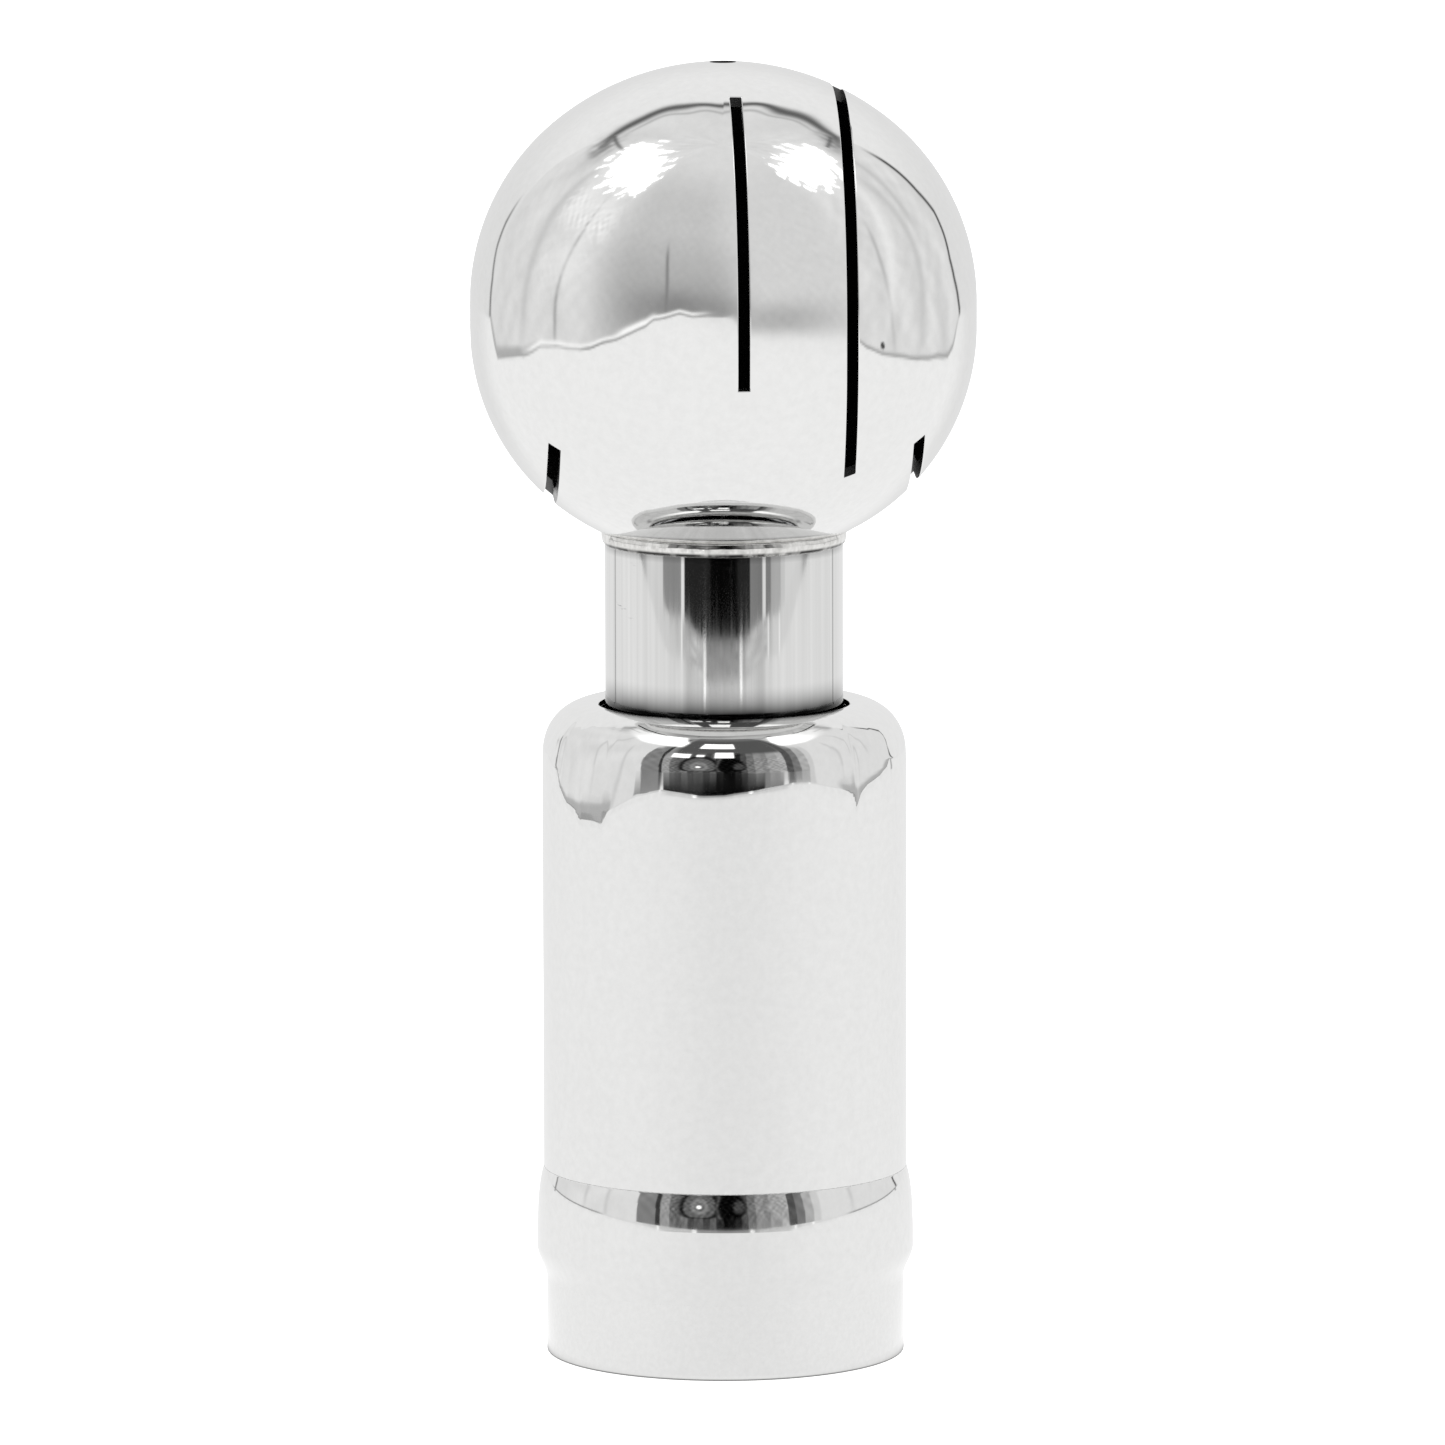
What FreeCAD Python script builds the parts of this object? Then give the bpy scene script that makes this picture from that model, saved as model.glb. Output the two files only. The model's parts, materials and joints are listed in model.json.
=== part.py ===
"""Rotary tank-cleaning spray ball: a slotted ball on a hollow neck that spins in a fixed housing.

Millimetres.  The origin is the centre of the bottom face, +Z runs up the spin axis to the ball,
and -Y is the front.  Each sub-part is one STEP file in parts/.
"""
import FreeCAD
import Part
import math
import os

V = FreeCAD.Vector
AXIS = V(0, 0, 1)
ORIGIN = V(0, 0, 0)
JOIN_TOLERANCE = 1e-6

# Heights above the bottom face
TOTAL_HEIGHT = 167.1
HOUSING_TOP = 84.66

# Ball: two pressed domes, each with a short straight skirt, welded at the equator
BALL_RADIUS = 32.5
BALL_WALL = 1.5
BALL_CENTRE = TOTAL_HEIGHT - BALL_RADIUS
UPPER_SKIRT = 1.7
UPPER_KNUCKLE = 29.9
LOWER_SKIRT = 1.5
LOWER_KNUCKLE = 29.06
SEAM_HALF_WIDTH = 0.6
POLE_HOLE_RADIUS = 1.7

# Spray slots: parallel vertical saw cuts, set off to one side of the axis so that the jets turn
# the ball.  Each row is the direction the cut faces, its offset, and the angles where it starts
# and ends, counted in the plane of the cut from level at the front, over the top.
SLOT_WIDTH = 1.5
SLOT_TURN = 3.3
CENTRE_OFFSET = 0.75
SIDE_OFFSET = 14.7
LOW_OFFSET = 24.0
LOW_OFFSET_FAR_SIDE = 22.6
SLOTS = [
    (SLOT_TURN, CENTRE_OFFSET, -11.1, 63.8),
    (SLOT_TURN, SIDE_OFFSET, -38.5, 100.0),
    (SLOT_TURN, LOW_OFFSET, -100.0, -39.7),
    (SLOT_TURN + 180, CENTRE_OFFSET, -11.1, 63.8),
    (SLOT_TURN + 180, SIDE_OFFSET, -38.5, 78.0),
    (SLOT_TURN + 180, LOW_OFFSET_FAR_SIDE, -141.9, -80.0),
]
CUTTER_DEPTH = 5.0
CUTTER_PROUD = 4.0

# Rotor tube: the neck above, a turned seat for the bearing cones below
NECK_RADIUS = 15.32
NECK_BORE = 12.7
SEAT_RADIUS = 14.48
NECK_TOP_IN_BALL = 26.0
NECK_WELD_REACH = 17.3
NECK_WELD_DROP = 29.5
NECK_WELD_HOLLOW = 0.27

# Two rows of loose balls between a fixed cup and a turning cone, touching at 45 degrees
PITCH_RADIUS = 18.7
BEARING_BALL_RADIUS = 2.0
BALLS_PER_ROW = 28
RACE_CLEARANCE = 0.08
RACE_RADIUS = BEARING_BALL_RADIUS + RACE_CLEARANCE
RACE_END = 20.0
RACE_LIP = 10.0
UPPER_ROW = 77.0
LOWER_ROW = 44.0
CONE_DEPTH = 5.5
SEAT_FIT = 0.02

# Housing: a drawn shell, belled out over the connector and welded to it
SHELL_RADIUS = 23.45
SHELL_WALL = 1.2
SHOULDER_RADIUS = 6.16
TOP_HOLE_RADIUS = 16.1
BELL_RADIUS = 24.35
BELL_START = 25.26
BELL_FULL = 18.9
BELL_MOUTH = 13.84
HOUSING_WELD_FOOT = 9.72
STACK_FIT = 0.03
SPACER_WALL = 1.5
CUP_BORE_BELOW = 17.0

# Retaining pieces at the foot of the rotor tube
WASHER_THICKNESS = 1.0
WASHER_RADIUS = 16.2
CIRCLIP_THICKNESS = 1.2
CIRCLIP_INNER = 13.8
CIRCLIP_OUTER = 15.7
CIRCLIP_GAP = 7.0
LUG_RADIUS = 1.4
LUG_HOLE = 0.6
LUG_PITCH = 15.0
TUBE_BELOW_CIRCLIP = 1.9

# Connector with a one-inch parallel pipe thread inside
CONNECTOR_RADIUS = 23.1
CONNECTOR_TOP = 26.0
CONNECTOR_STEP = 19.2
CONNECTOR_EDGE = 0.3
CONNECTOR_CHAMFER = 0.6
THREAD_CREST = 15.1455
THREAD_ROOT = 16.6245
THREAD_PITCH = 2.309
THREAD_TURNS = 7
THREAD_FLAT = THREAD_PITCH / 6
MOUTH_RADIUS = 16.9
MOUTH_DEPTH = MOUTH_RADIUS - THREAD_CREST
RELIEF_TOP = 21.0
STOP_BORE = 14.0
SHIM_THICKNESS = 0.5

# Derived heights and radii
SHELL_INNER = SHELL_RADIUS - SHELL_WALL
STACK_RADIUS = SHELL_INNER - STACK_FIT
STACK_TOP = HOUSING_TOP - SHELL_WALL - STACK_FIT
CUP_DEPTH = STACK_TOP - UPPER_ROW
SPACER_INNER = STACK_RADIUS - SPACER_WALL
RACE_END_RISE = RACE_RADIUS * math.sin(math.radians(RACE_END))
TUBE_SHOULDER = UPPER_ROW + RACE_END_RISE
LOWER_CONE_FOOT = LOWER_ROW - RACE_END_RISE
WASHER_FOOT = LOWER_CONE_FOOT - WASHER_THICKNESS
CIRCLIP_FOOT = WASHER_FOOT - CIRCLIP_THICKNESS
TUBE_FOOT = CIRCLIP_FOOT - TUBE_BELOW_CIRCLIP
LOWER_CUP_FOOT = LOWER_ROW - CUP_DEPTH
SHIM_FOOT = LOWER_CUP_FOOT - SHIM_THICKNESS


def at(radius, height):
    """A point of a section, which is drawn in the XZ plane."""
    return V(radius, 0, height)


def on_circle(centre, radius, degrees):
    """The point of a circle in the section at an angle counted from +X towards +Z."""
    angle = math.radians(degrees)
    return centre + V(radius * math.cos(angle), 0, radius * math.sin(angle))


def arc(centre, radius, start, end):
    """A section arc between two angles."""
    middle = on_circle(centre, radius, (start + end) / 2)
    return Part.Arc(on_circle(centre, radius, start), middle, on_circle(centre, radius, end)).toShape()


def ends(piece):
    """Where a point or an arc of a section starts and finishes."""
    if isinstance(piece, FreeCAD.Vector):
        return piece, piece
    return piece.firstVertex(True).Point, piece.lastVertex(True).Point


def backwards(arcs):
    """A run of arcs, taken the other way."""
    turned_round = []
    for edge in reversed(arcs):
        start, finish = ends(edge)
        middle = edge.valueAt((edge.FirstParameter + edge.LastParameter) / 2)
        turned_round.append(Part.Arc(finish, middle, start).toShape())
    return turned_round


def section(*pieces):
    """A closed section: arcs are kept as they are, and straight lines join them and the points."""
    edges = []
    for piece, following in zip(pieces, pieces[1:] + pieces[:1]):
        if not isinstance(piece, FreeCAD.Vector):
            edges.append(piece)
        here, there = ends(piece)[1], ends(following)[0]
        if not here.isEqual(there, JOIN_TOLERANCE):
            edges.append(Part.makeLine(here, there))
    return Part.Face(Part.Wire(edges))


def turned(*pieces):
    """The solid turned from a section about the spin axis."""
    return section(*pieces).revolve(ORIGIN, AXIS, 360)


def ring(inner, outer, foot, top):
    """A plain turned ring."""
    return turned(at(inner, foot), at(outer, foot), at(outer, top), at(inner, top))


def mirrored(shape, height):
    """The shape turned upside down about a level plane."""
    return shape.mirror(V(0, 0, height), AXIS)


def slot_cutter(turn, offset, start, end):
    """A flat curved plate that cuts one slot through the wall of the ball."""
    reach = math.sqrt(BALL_RADIUS ** 2 - offset ** 2)
    centre = at(0, BALL_CENTRE)
    inner = arc(centre, reach - CUTTER_DEPTH, start, end)
    outer = arc(centre, reach + CUTTER_PROUD, end, start)
    plate = section(inner, outer).extrude(V(0, SLOT_WIDTH, 0))
    plate.translate(V(0, offset - SLOT_WIDTH / 2, 0))
    plate.rotate(ORIGIN, AXIS, turn - 90)
    return plate


def slotted(shape):
    """A piece of the ball with the slots sawn through it."""
    for slot in SLOTS:
        shape = shape.cut(slot_cutter(*slot))
    return shape


def upper_dome(depth):
    """The knuckle and crown arcs of the upper dome, at a depth below its outside.

    The crown is the circle that is tangent to the knuckle and passes through the top of the ball.
    """
    inset = BALL_RADIUS - UPPER_KNUCKLE
    drop = (2 * UPPER_SKIRT * inset - UPPER_SKIRT ** 2) / (2 * (inset - UPPER_SKIRT))
    crown = BALL_RADIUS - UPPER_SKIRT + drop - depth
    knuckle_centre = at(inset, BALL_CENTRE + UPPER_SKIRT)
    crown_centre = at(0, BALL_CENTRE + UPPER_SKIRT - drop)
    meeting = math.degrees(math.atan2(drop, inset))
    hole = math.degrees(math.acos(POLE_HOLE_RADIUS / crown))
    return [arc(knuckle_centre, UPPER_KNUCKLE - depth, 0, meeting), arc(crown_centre, crown, meeting, hole)]


def ball_upper_shell():
    seam = BALL_CENTRE + SEAM_HALF_WIDTH
    inner = backwards(upper_dome(BALL_WALL))
    return slotted(turned(at(BALL_RADIUS, seam), *upper_dome(0), *inner, at(BALL_RADIUS - BALL_WALL, seam)))


def lower_knuckle_centre():
    return at(BALL_RADIUS - LOWER_KNUCKLE, BALL_CENTRE - LOWER_SKIRT)


def lower_angle(radius, depth):
    """The angle on the lower dome, at a depth below its outside, where it reaches a radius."""
    run = radius - lower_knuckle_centre().x
    return -math.degrees(math.acos(run / (LOWER_KNUCKLE - depth)))


def ball_lower_shell():
    seam = BALL_CENTRE - SEAM_HALF_WIDTH
    centre = lower_knuckle_centre()
    hole = NECK_RADIUS + SEAT_FIT
    outer = arc(centre, LOWER_KNUCKLE, 0, lower_angle(hole, 0))
    inner = arc(centre, LOWER_KNUCKLE - BALL_WALL, lower_angle(hole, BALL_WALL), 0)
    return slotted(turned(at(BALL_RADIUS, seam), outer, inner, at(BALL_RADIUS - BALL_WALL, seam)))


def ball_equator_weld():
    bottom = BALL_CENTRE - SEAM_HALF_WIDTH
    top = BALL_CENTRE + SEAM_HALF_WIDTH
    return slotted(ring(BALL_RADIUS - BALL_WALL, BALL_RADIUS, bottom, top))


def neck_weld():
    """The hollow-faced fillet weld in the corner between the ball and the neck."""
    centre = lower_knuckle_centre()
    hole = NECK_RADIUS + SEAT_FIT
    face = arc(centre, LOWER_KNUCKLE, lower_angle(NECK_WELD_REACH, 0), lower_angle(hole, 0))
    foot = at(NECK_RADIUS, BALL_CENTRE - NECK_WELD_DROP)
    rim, corner = ends(face)
    middle = (foot + rim) * 0.5
    middle = middle + (corner - middle) * NECK_WELD_HOLLOW
    return turned(face, at(NECK_RADIUS, corner.z), foot, Part.Arc(foot, middle, rim).toShape())


def rotor_tube():
    top = BALL_CENTRE - NECK_TOP_IN_BALL
    tube = turned(at(NECK_BORE, TUBE_FOOT), at(SEAT_RADIUS, TUBE_FOOT), at(SEAT_RADIUS, TUBE_SHOULDER),
                  at(NECK_RADIUS, TUBE_SHOULDER), at(NECK_RADIUS, top), at(NECK_BORE, top))
    groove = ring(CIRCLIP_INNER - SEAT_FIT, NECK_RADIUS, CIRCLIP_FOOT, WASHER_FOOT)
    return tube.cut(groove)


def upper_cone():
    """The turning race, below and inside its row of balls."""
    centre = at(PITCH_RADIUS, UPPER_ROW)
    race = arc(centre, RACE_RADIUS, 180 - RACE_END, 270 + RACE_LIP)
    foot = UPPER_ROW - CONE_DEPTH
    seat = SEAT_RADIUS + SEAT_FIT
    return turned(at(seat, TUBE_SHOULDER), race, at(ends(race)[1].x, foot), at(seat, foot))


def lower_cone():
    return mirrored(upper_cone(), (UPPER_ROW + LOWER_ROW) / 2)


def cone_spacer():
    outer = PITCH_RADIUS - BEARING_BALL_RADIUS
    return ring(SEAT_RADIUS + SEAT_FIT, outer, LOWER_ROW + CONE_DEPTH, UPPER_ROW - CONE_DEPTH)


def cup_race(row):
    """The fixed race of the upper row, above and outside its balls."""
    return arc(at(PITCH_RADIUS, row), RACE_RADIUS, 90 + RACE_LIP, -RACE_END)


def upper_cup():
    race = cup_race(UPPER_ROW)
    corner = at(SHELL_RADIUS - SHOULDER_RADIUS, HOUSING_TOP - SHOULDER_RADIUS)
    shoulder = arc(corner, SHOULDER_RADIUS - SHELL_WALL - STACK_FIT, 0, 90)
    lip, skirt = ends(race)
    return turned(race, at(STACK_RADIUS, skirt.z), shoulder,
                  at(TOP_HOLE_RADIUS, STACK_TOP), at(TOP_HOLE_RADIUS, lip.z))


def lower_cup():
    race = cup_race(LOWER_ROW)
    lip, skirt = ends(race)
    top = LOWER_ROW + CUP_DEPTH
    cup = turned(race, at(STACK_RADIUS, skirt.z), at(STACK_RADIUS, top),
                 at(CUP_BORE_BELOW, top), at(CUP_BORE_BELOW, lip.z))
    return mirrored(cup, LOWER_ROW)


def cup_spacer():
    return ring(SPACER_INNER, STACK_RADIUS, LOWER_ROW + RACE_END_RISE, UPPER_ROW - RACE_END_RISE)


def bearing_balls(row):
    """One row of loose bearing balls."""
    balls = []
    for number in range(BALLS_PER_ROW):
        angle = 2 * math.pi * number / BALLS_PER_ROW
        centre = V(PITCH_RADIUS * math.cos(angle), PITCH_RADIUS * math.sin(angle), row)
        balls.append(Part.makeSphere(BEARING_BALL_RADIUS, centre))
    return Part.makeCompound(balls)


def upper_bearing_balls():
    return bearing_balls(UPPER_ROW)


def lower_bearing_balls():
    return bearing_balls(LOWER_ROW)


def thrust_washer():
    return ring(SEAT_RADIUS + SEAT_FIT, WASHER_RADIUS, WASHER_FOOT, LOWER_CONE_FOOT)


def rotor_circlip():
    """An open spring ring with a drilled lug at each end."""
    def disc(radius, angle=0.0, pitch=0.0):
        centre = V(pitch * math.cos(angle), pitch * math.sin(angle), CIRCLIP_FOOT)
        return Part.makeCylinder(radius, CIRCLIP_THICKNESS, centre, AXIS)

    clip = disc(CIRCLIP_OUTER)
    opening = Part.makeBox(CIRCLIP_OUTER * 2, CIRCLIP_GAP, CIRCLIP_THICKNESS)
    opening.translate(V(0, -CIRCLIP_GAP / 2, CIRCLIP_FOOT))
    clip = clip.cut(opening)
    lug_angle = math.asin((CIRCLIP_GAP / 2 + LUG_HOLE) / LUG_PITCH)
    for angle in (lug_angle, -lug_angle):
        clip = clip.fuse(disc(LUG_RADIUS, angle, LUG_PITCH)).cut(disc(LUG_HOLE, angle, LUG_PITCH))
    return clip.cut(disc(CIRCLIP_INNER)).removeSplitter()


def joggle(depth):
    """Two tangent arcs that step the shell out to the bell, at a depth below its outside."""
    step_out = BELL_RADIUS - SHELL_RADIUS
    drop = BELL_START - BELL_FULL
    turn = 2 * math.degrees(math.atan2(step_out, drop))
    bend = drop / 2 / math.sin(math.radians(turn))
    above = arc(at(SHELL_RADIUS + bend, BELL_START), bend + depth, 180, 180 + turn)
    below = arc(at(BELL_RADIUS - bend, BELL_FULL), bend - depth, turn, 0)
    return [above, below]


def housing_shell():
    corner = at(SHELL_RADIUS - SHOULDER_RADIUS, HOUSING_TOP - SHOULDER_RADIUS)
    underside = HOUSING_TOP - SHELL_WALL
    return turned(at(TOP_HOLE_RADIUS, underside), at(TOP_HOLE_RADIUS, HOUSING_TOP),
                  arc(corner, SHOULDER_RADIUS, 90, 0), *joggle(0), at(BELL_RADIUS, BELL_MOUTH),
                  at(BELL_RADIUS - SHELL_WALL, BELL_MOUTH), *backwards(joggle(SHELL_WALL)),
                  arc(corner, SHOULDER_RADIUS - SHELL_WALL, 0, 90))


def housing_weld():
    """The dressed fillet weld between the mouth of the bell and the connector."""
    return turned(at(CONNECTOR_RADIUS, HOUSING_WELD_FOOT), at(BELL_RADIUS, BELL_MOUTH),
                  at(CONNECTOR_RADIUS, BELL_MOUTH))


def threaded_connector():
    """The connector, with the thread drawn as rings of the right section."""
    body = [at(MOUTH_RADIUS, 0),
            arc(at(CONNECTOR_RADIUS - CONNECTOR_EDGE, CONNECTOR_EDGE), CONNECTOR_EDGE, -90, 0),
            at(CONNECTOR_RADIUS, CONNECTOR_STEP - CONNECTOR_CHAMFER),
            at(CONNECTOR_RADIUS - CONNECTOR_CHAMFER, CONNECTOR_STEP),
            at(STACK_RADIUS, CONNECTOR_STEP), at(STACK_RADIUS, CONNECTOR_TOP),
            at(STOP_BORE, CONNECTOR_TOP), at(STOP_BORE, RELIEF_TOP), at(MOUTH_RADIUS, RELIEF_TOP)]
    flank = (THREAD_PITCH - 2 * THREAD_FLAT) / 2
    thread_top = MOUTH_DEPTH + THREAD_TURNS * THREAD_PITCH + THREAD_FLAT
    body += [at(MOUTH_RADIUS, thread_top), at(THREAD_CREST, thread_top)]
    for turn in reversed(range(THREAD_TURNS)):
        foot = MOUTH_DEPTH + turn * THREAD_PITCH + THREAD_FLAT
        body += [at(THREAD_CREST, foot + 2 * flank + THREAD_FLAT),
                 at(THREAD_ROOT, foot + flank + THREAD_FLAT),
                 at(THREAD_ROOT, foot + flank), at(THREAD_CREST, foot)]
    body.append(at(THREAD_CREST, MOUTH_DEPTH))
    return turned(*body)


def support_ring():
    """Carries the clamping load from the connector to the shim and the lower cup."""
    return ring(SPACER_INNER, STACK_RADIUS, CONNECTOR_TOP, SHIM_FOOT)


def preload_shim():
    return ring(SPACER_INNER, STACK_RADIUS, SHIM_FOOT, LOWER_CUP_FOOT)


NODES = [ball_upper_shell, ball_lower_shell, ball_equator_weld, neck_weld, rotor_tube,
         upper_cone, lower_cone, cone_spacer, thrust_washer, rotor_circlip,
         upper_bearing_balls, lower_bearing_balls,
         housing_shell, upper_cup, lower_cup, cup_spacer, support_ring, preload_shim,
         threaded_connector, housing_weld]

os.makedirs("parts", exist_ok=True)
for node in NODES:
    shape = node()
    shape.exportStep("parts/" + node.__name__ + ".step")
    print(node.__name__, len(shape.Solids), "solids", round(shape.Volume, 1), "mm3", shape.isValid())
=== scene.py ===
"""Looks of the rotary spray ball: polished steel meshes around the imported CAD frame, and a studio.

The object's own lengths are in millimetres here and become metres when a mesh is made.
"""
import json
import math

import bpy
import numpy as np
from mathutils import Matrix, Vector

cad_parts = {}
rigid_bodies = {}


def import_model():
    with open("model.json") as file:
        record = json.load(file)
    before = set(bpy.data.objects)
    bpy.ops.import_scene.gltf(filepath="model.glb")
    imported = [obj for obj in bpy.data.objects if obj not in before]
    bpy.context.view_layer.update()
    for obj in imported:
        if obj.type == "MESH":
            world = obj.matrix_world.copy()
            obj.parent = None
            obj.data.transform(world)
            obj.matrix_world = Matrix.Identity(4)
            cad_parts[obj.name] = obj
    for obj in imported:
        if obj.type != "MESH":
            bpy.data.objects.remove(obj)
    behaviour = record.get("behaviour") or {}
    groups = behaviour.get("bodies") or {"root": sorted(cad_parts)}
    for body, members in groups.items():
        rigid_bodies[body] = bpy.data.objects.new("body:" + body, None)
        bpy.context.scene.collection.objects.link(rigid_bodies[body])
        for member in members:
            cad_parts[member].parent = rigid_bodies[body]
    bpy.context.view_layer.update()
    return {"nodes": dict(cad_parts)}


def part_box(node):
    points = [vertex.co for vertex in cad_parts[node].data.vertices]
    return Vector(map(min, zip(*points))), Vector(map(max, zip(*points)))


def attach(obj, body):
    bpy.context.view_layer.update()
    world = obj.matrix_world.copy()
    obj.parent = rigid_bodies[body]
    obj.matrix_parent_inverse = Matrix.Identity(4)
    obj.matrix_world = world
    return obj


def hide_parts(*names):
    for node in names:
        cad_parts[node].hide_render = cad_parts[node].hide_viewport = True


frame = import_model()

MM = 0.001
TAU = 2 * math.pi
nodes = frame["nodes"]
scene = bpy.context.scene

# Sizes shared with the CAD, in millimetres
BALL_R, BALL_Z, BALL_WALL = 32.5, 134.6, 1.5
BALL_INNER = BALL_R - BALL_WALL
UPPER_SKIRT, UPPER_KNUCKLE = 1.7, 29.9
LOWER_SKIRT, LOWER_KNUCKLE = 1.5, 29.06
POLE_HOLE = 1.7
SLOT_TURN, SLOT_HALF = 3.3, 0.75
# Each slot's offset from the axis, then the angles from the front up at which it starts and ends
SLOTS = [(0.75, -11.1, 63.8), (14.7, -38.5, 100.0), (24.0, -100.0, -39.7),
         (-0.75, 116.2, 191.1), (-14.7, 102.0, 218.5), (-22.6, -100.0, -38.1)]
NECK_R, NECK_BORE, SEAT_R = 15.32, 12.7, 14.48
UPPER_ROW_Z, RACE_RADIUS, RACE_END, CIRCLIP = 77, 2.08, 20, 1.2
NECK_WELD_FOOT = BALL_Z - 29.5
SHELL_R, SHELL_WALL, SHOULDER_R, SHELL_TOP, TOP_HOLE = 23.45, 1.2, 6.16, 84.66, 16.1
SHOULDER_CENTRE_R, SHOULDER_CENTRE_Z = SHELL_R - SHOULDER_R, SHELL_TOP - SHOULDER_R
BELL_R, BELL_TOP, BELL_FULL, BELL_MOUTH, BELL_WELD_FOOT = 24.35, 24.2, 18.9, 13.84, 9.72
CONNECTOR_R, THREAD_CREST, THREAD_ROOT, THREAD_PITCH = 23.1, 15.1455, 16.6245, 2.309


# ---------------------------------------------------------------- meshes

def linked(name, data):
    obj = bpy.data.objects.new(name, data)
    scene.collection.objects.link(obj)
    return obj


def make_object(name, points, normals, faces, material):
    """A smooth-shaded mesh object from millimetre points, with its own vertex normals."""
    mesh = bpy.data.meshes.new(name)
    mesh.from_pydata((np.asarray(points) * MM).tolist(), [], faces)
    mesh.materials.append(material)
    mesh.shade_smooth()
    lengths = np.linalg.norm(normals, axis=1, keepdims=True)
    mesh.normals_split_custom_set_from_vertices((normals / np.maximum(lengths, 1e-12)).tolist())
    return linked(name, mesh)


def place(obj, body, slot, *replaced):
    """Gives a mesh its body and hides the CAD nodes it replaces; the slot is not used."""
    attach(obj, body)
    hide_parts(*replaced)
    return obj


def arc(r, z, radius, start, end, step=3.0):
    """Points of an arc in a section, angles in degrees from outwards towards up."""
    count = max(2, int(abs(end - start) / step) + 1)
    angles = np.radians(np.linspace(start, end, count))
    return [(r + radius * math.cos(a), z + radius * math.sin(a)) for a in angles]


def eased(points, step=1.2):
    """A closed section with its marked corners rounded and its long runs divided.

    A corner is a point of three values, whose third is the rounding radius.
    """
    ring = []
    count = len(points)
    for i, point in enumerate(points):
        here = np.array(point[:2])
        if len(point) < 3 or point[2] == 0:
            ring.append(here)
            continue
        back = np.array(points[i - 1][:2]) - here
        ahead = np.array(points[(i + 1) % count][:2]) - here
        reach_back, reach_ahead = np.linalg.norm(back), np.linalg.norm(ahead)
        cut = min(point[2], 0.45 * reach_back, 0.45 * reach_ahead)
        start, end = here + back / reach_back * cut, here + ahead / reach_ahead * cut
        for t in np.linspace(0, 1, 6):
            ring.append((1 - t) ** 2 * start + 2 * t * (1 - t) * here + t ** 2 * end)
    divided = []
    for here, there in zip(ring, ring[1:] + ring[:1]):
        pieces = max(1, int(np.linalg.norm(there - here) / step))
        divided += [here + (there - here) * k / pieces for k in range(pieces)]
    return np.array(divided)


def revolve(name, ring, material, segments=360, shift=None):
    """A closed solid turned from a section that runs anticlockwise, pushed out by shift(angle, r, z)."""
    angles = np.linspace(0, TAU, segments, endpoint=False)
    a, r = np.meshgrid(angles, ring[:, 0])
    _, z = np.meshgrid(angles, ring[:, 1])
    if shift is not None:
        r = r + shift(a, r, z)
    points = np.stack([r * np.cos(a), r * np.sin(a), z], -1)
    along = np.roll(points, -1, 0) - np.roll(points, 1, 0)
    around = np.roll(points, -1, 1) - np.roll(points, 1, 1)
    normals = np.cross(around, along)
    rows, columns = r.shape
    index = np.arange(rows * columns).reshape(rows, columns)
    up, side = np.roll(index, -1, 0), np.roll(index, -1, 1)
    corner = np.roll(up, -1, 1)
    faces = np.stack([index, side, corner, up], -1).reshape(-1, 4).tolist()
    return make_object(name, points.reshape(-1, 3), normals.reshape(-1, 3), faces, material)


def ripple(a, z, seed, lobes, heights):
    """A smooth random wave around and along a turned piece, from -1 to 1."""
    rng = np.random.default_rng(seed)
    total = np.zeros_like(a)
    weight = 0.0
    for _ in range(9):
        around = rng.integers(*lobes)
        along = rng.uniform(*heights)
        share = 1.0 / math.sqrt(around)
        total = total + share * np.sin(around * a + along * z + rng.uniform(0, TAU))
        weight += share
    return total / weight


def step(value, edge, soft=1.0):
    """Rises from 0 to 1 around an edge, over a width of twice soft."""
    t = np.clip((value - edge) / (2 * soft) + 0.5, 0, 1)
    return t * t * (3 - 2 * t)


def blend(tone, new, share):
    """A mix of two values, all new where the share is 1."""
    return tone * (1 - share) + new * share


# ---------------------------------------------------------------- ball

def dome_gap(r, z, depth):
    """How far a point is outside the ball's profile, and that profile's normal."""
    inset = BALL_R - UPPER_KNUCKLE
    drop = (2 * UPPER_SKIRT * inset - UPPER_SKIRT ** 2) / (2 * (inset - UPPER_SKIRT))
    crown = BALL_R - UPPER_SKIRT + drop
    meeting = math.atan2(drop, inset)
    up, down = z - UPPER_SKIRT, z + LOWER_SKIRT
    low_inset = BALL_R - LOWER_KNUCKLE
    parts = [(up > 0) & (np.arctan2(up, r - inset) > meeting), up > 0, down < 0]
    flat = np.zeros_like(r)
    centre_r = np.select(parts, [flat, flat + inset, flat + low_inset], flat)
    centre_z = np.select(parts, [flat + UPPER_SKIRT - drop, flat + UPPER_SKIRT, flat - LOWER_SKIRT], z)
    radius = np.select(parts, [flat + crown, flat + UPPER_KNUCKLE, flat + LOWER_KNUCKLE], BALL_R)
    run, rise = r - centre_r, z - centre_z
    reach = np.maximum(np.hypot(run, rise), 1e-9)
    return reach - (radius - depth), run / reach, rise / reach


SLOT_NORMAL = np.array([math.cos(math.radians(SLOT_TURN)), math.sin(math.radians(SLOT_TURN)), 0])
SLOT_FRONT = np.array([SLOT_NORMAL[1], -SLOT_NORMAL[0], 0])
UP = np.array([0.0, 0.0, 1.0])
SEAM_REACH = 8.0


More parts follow.
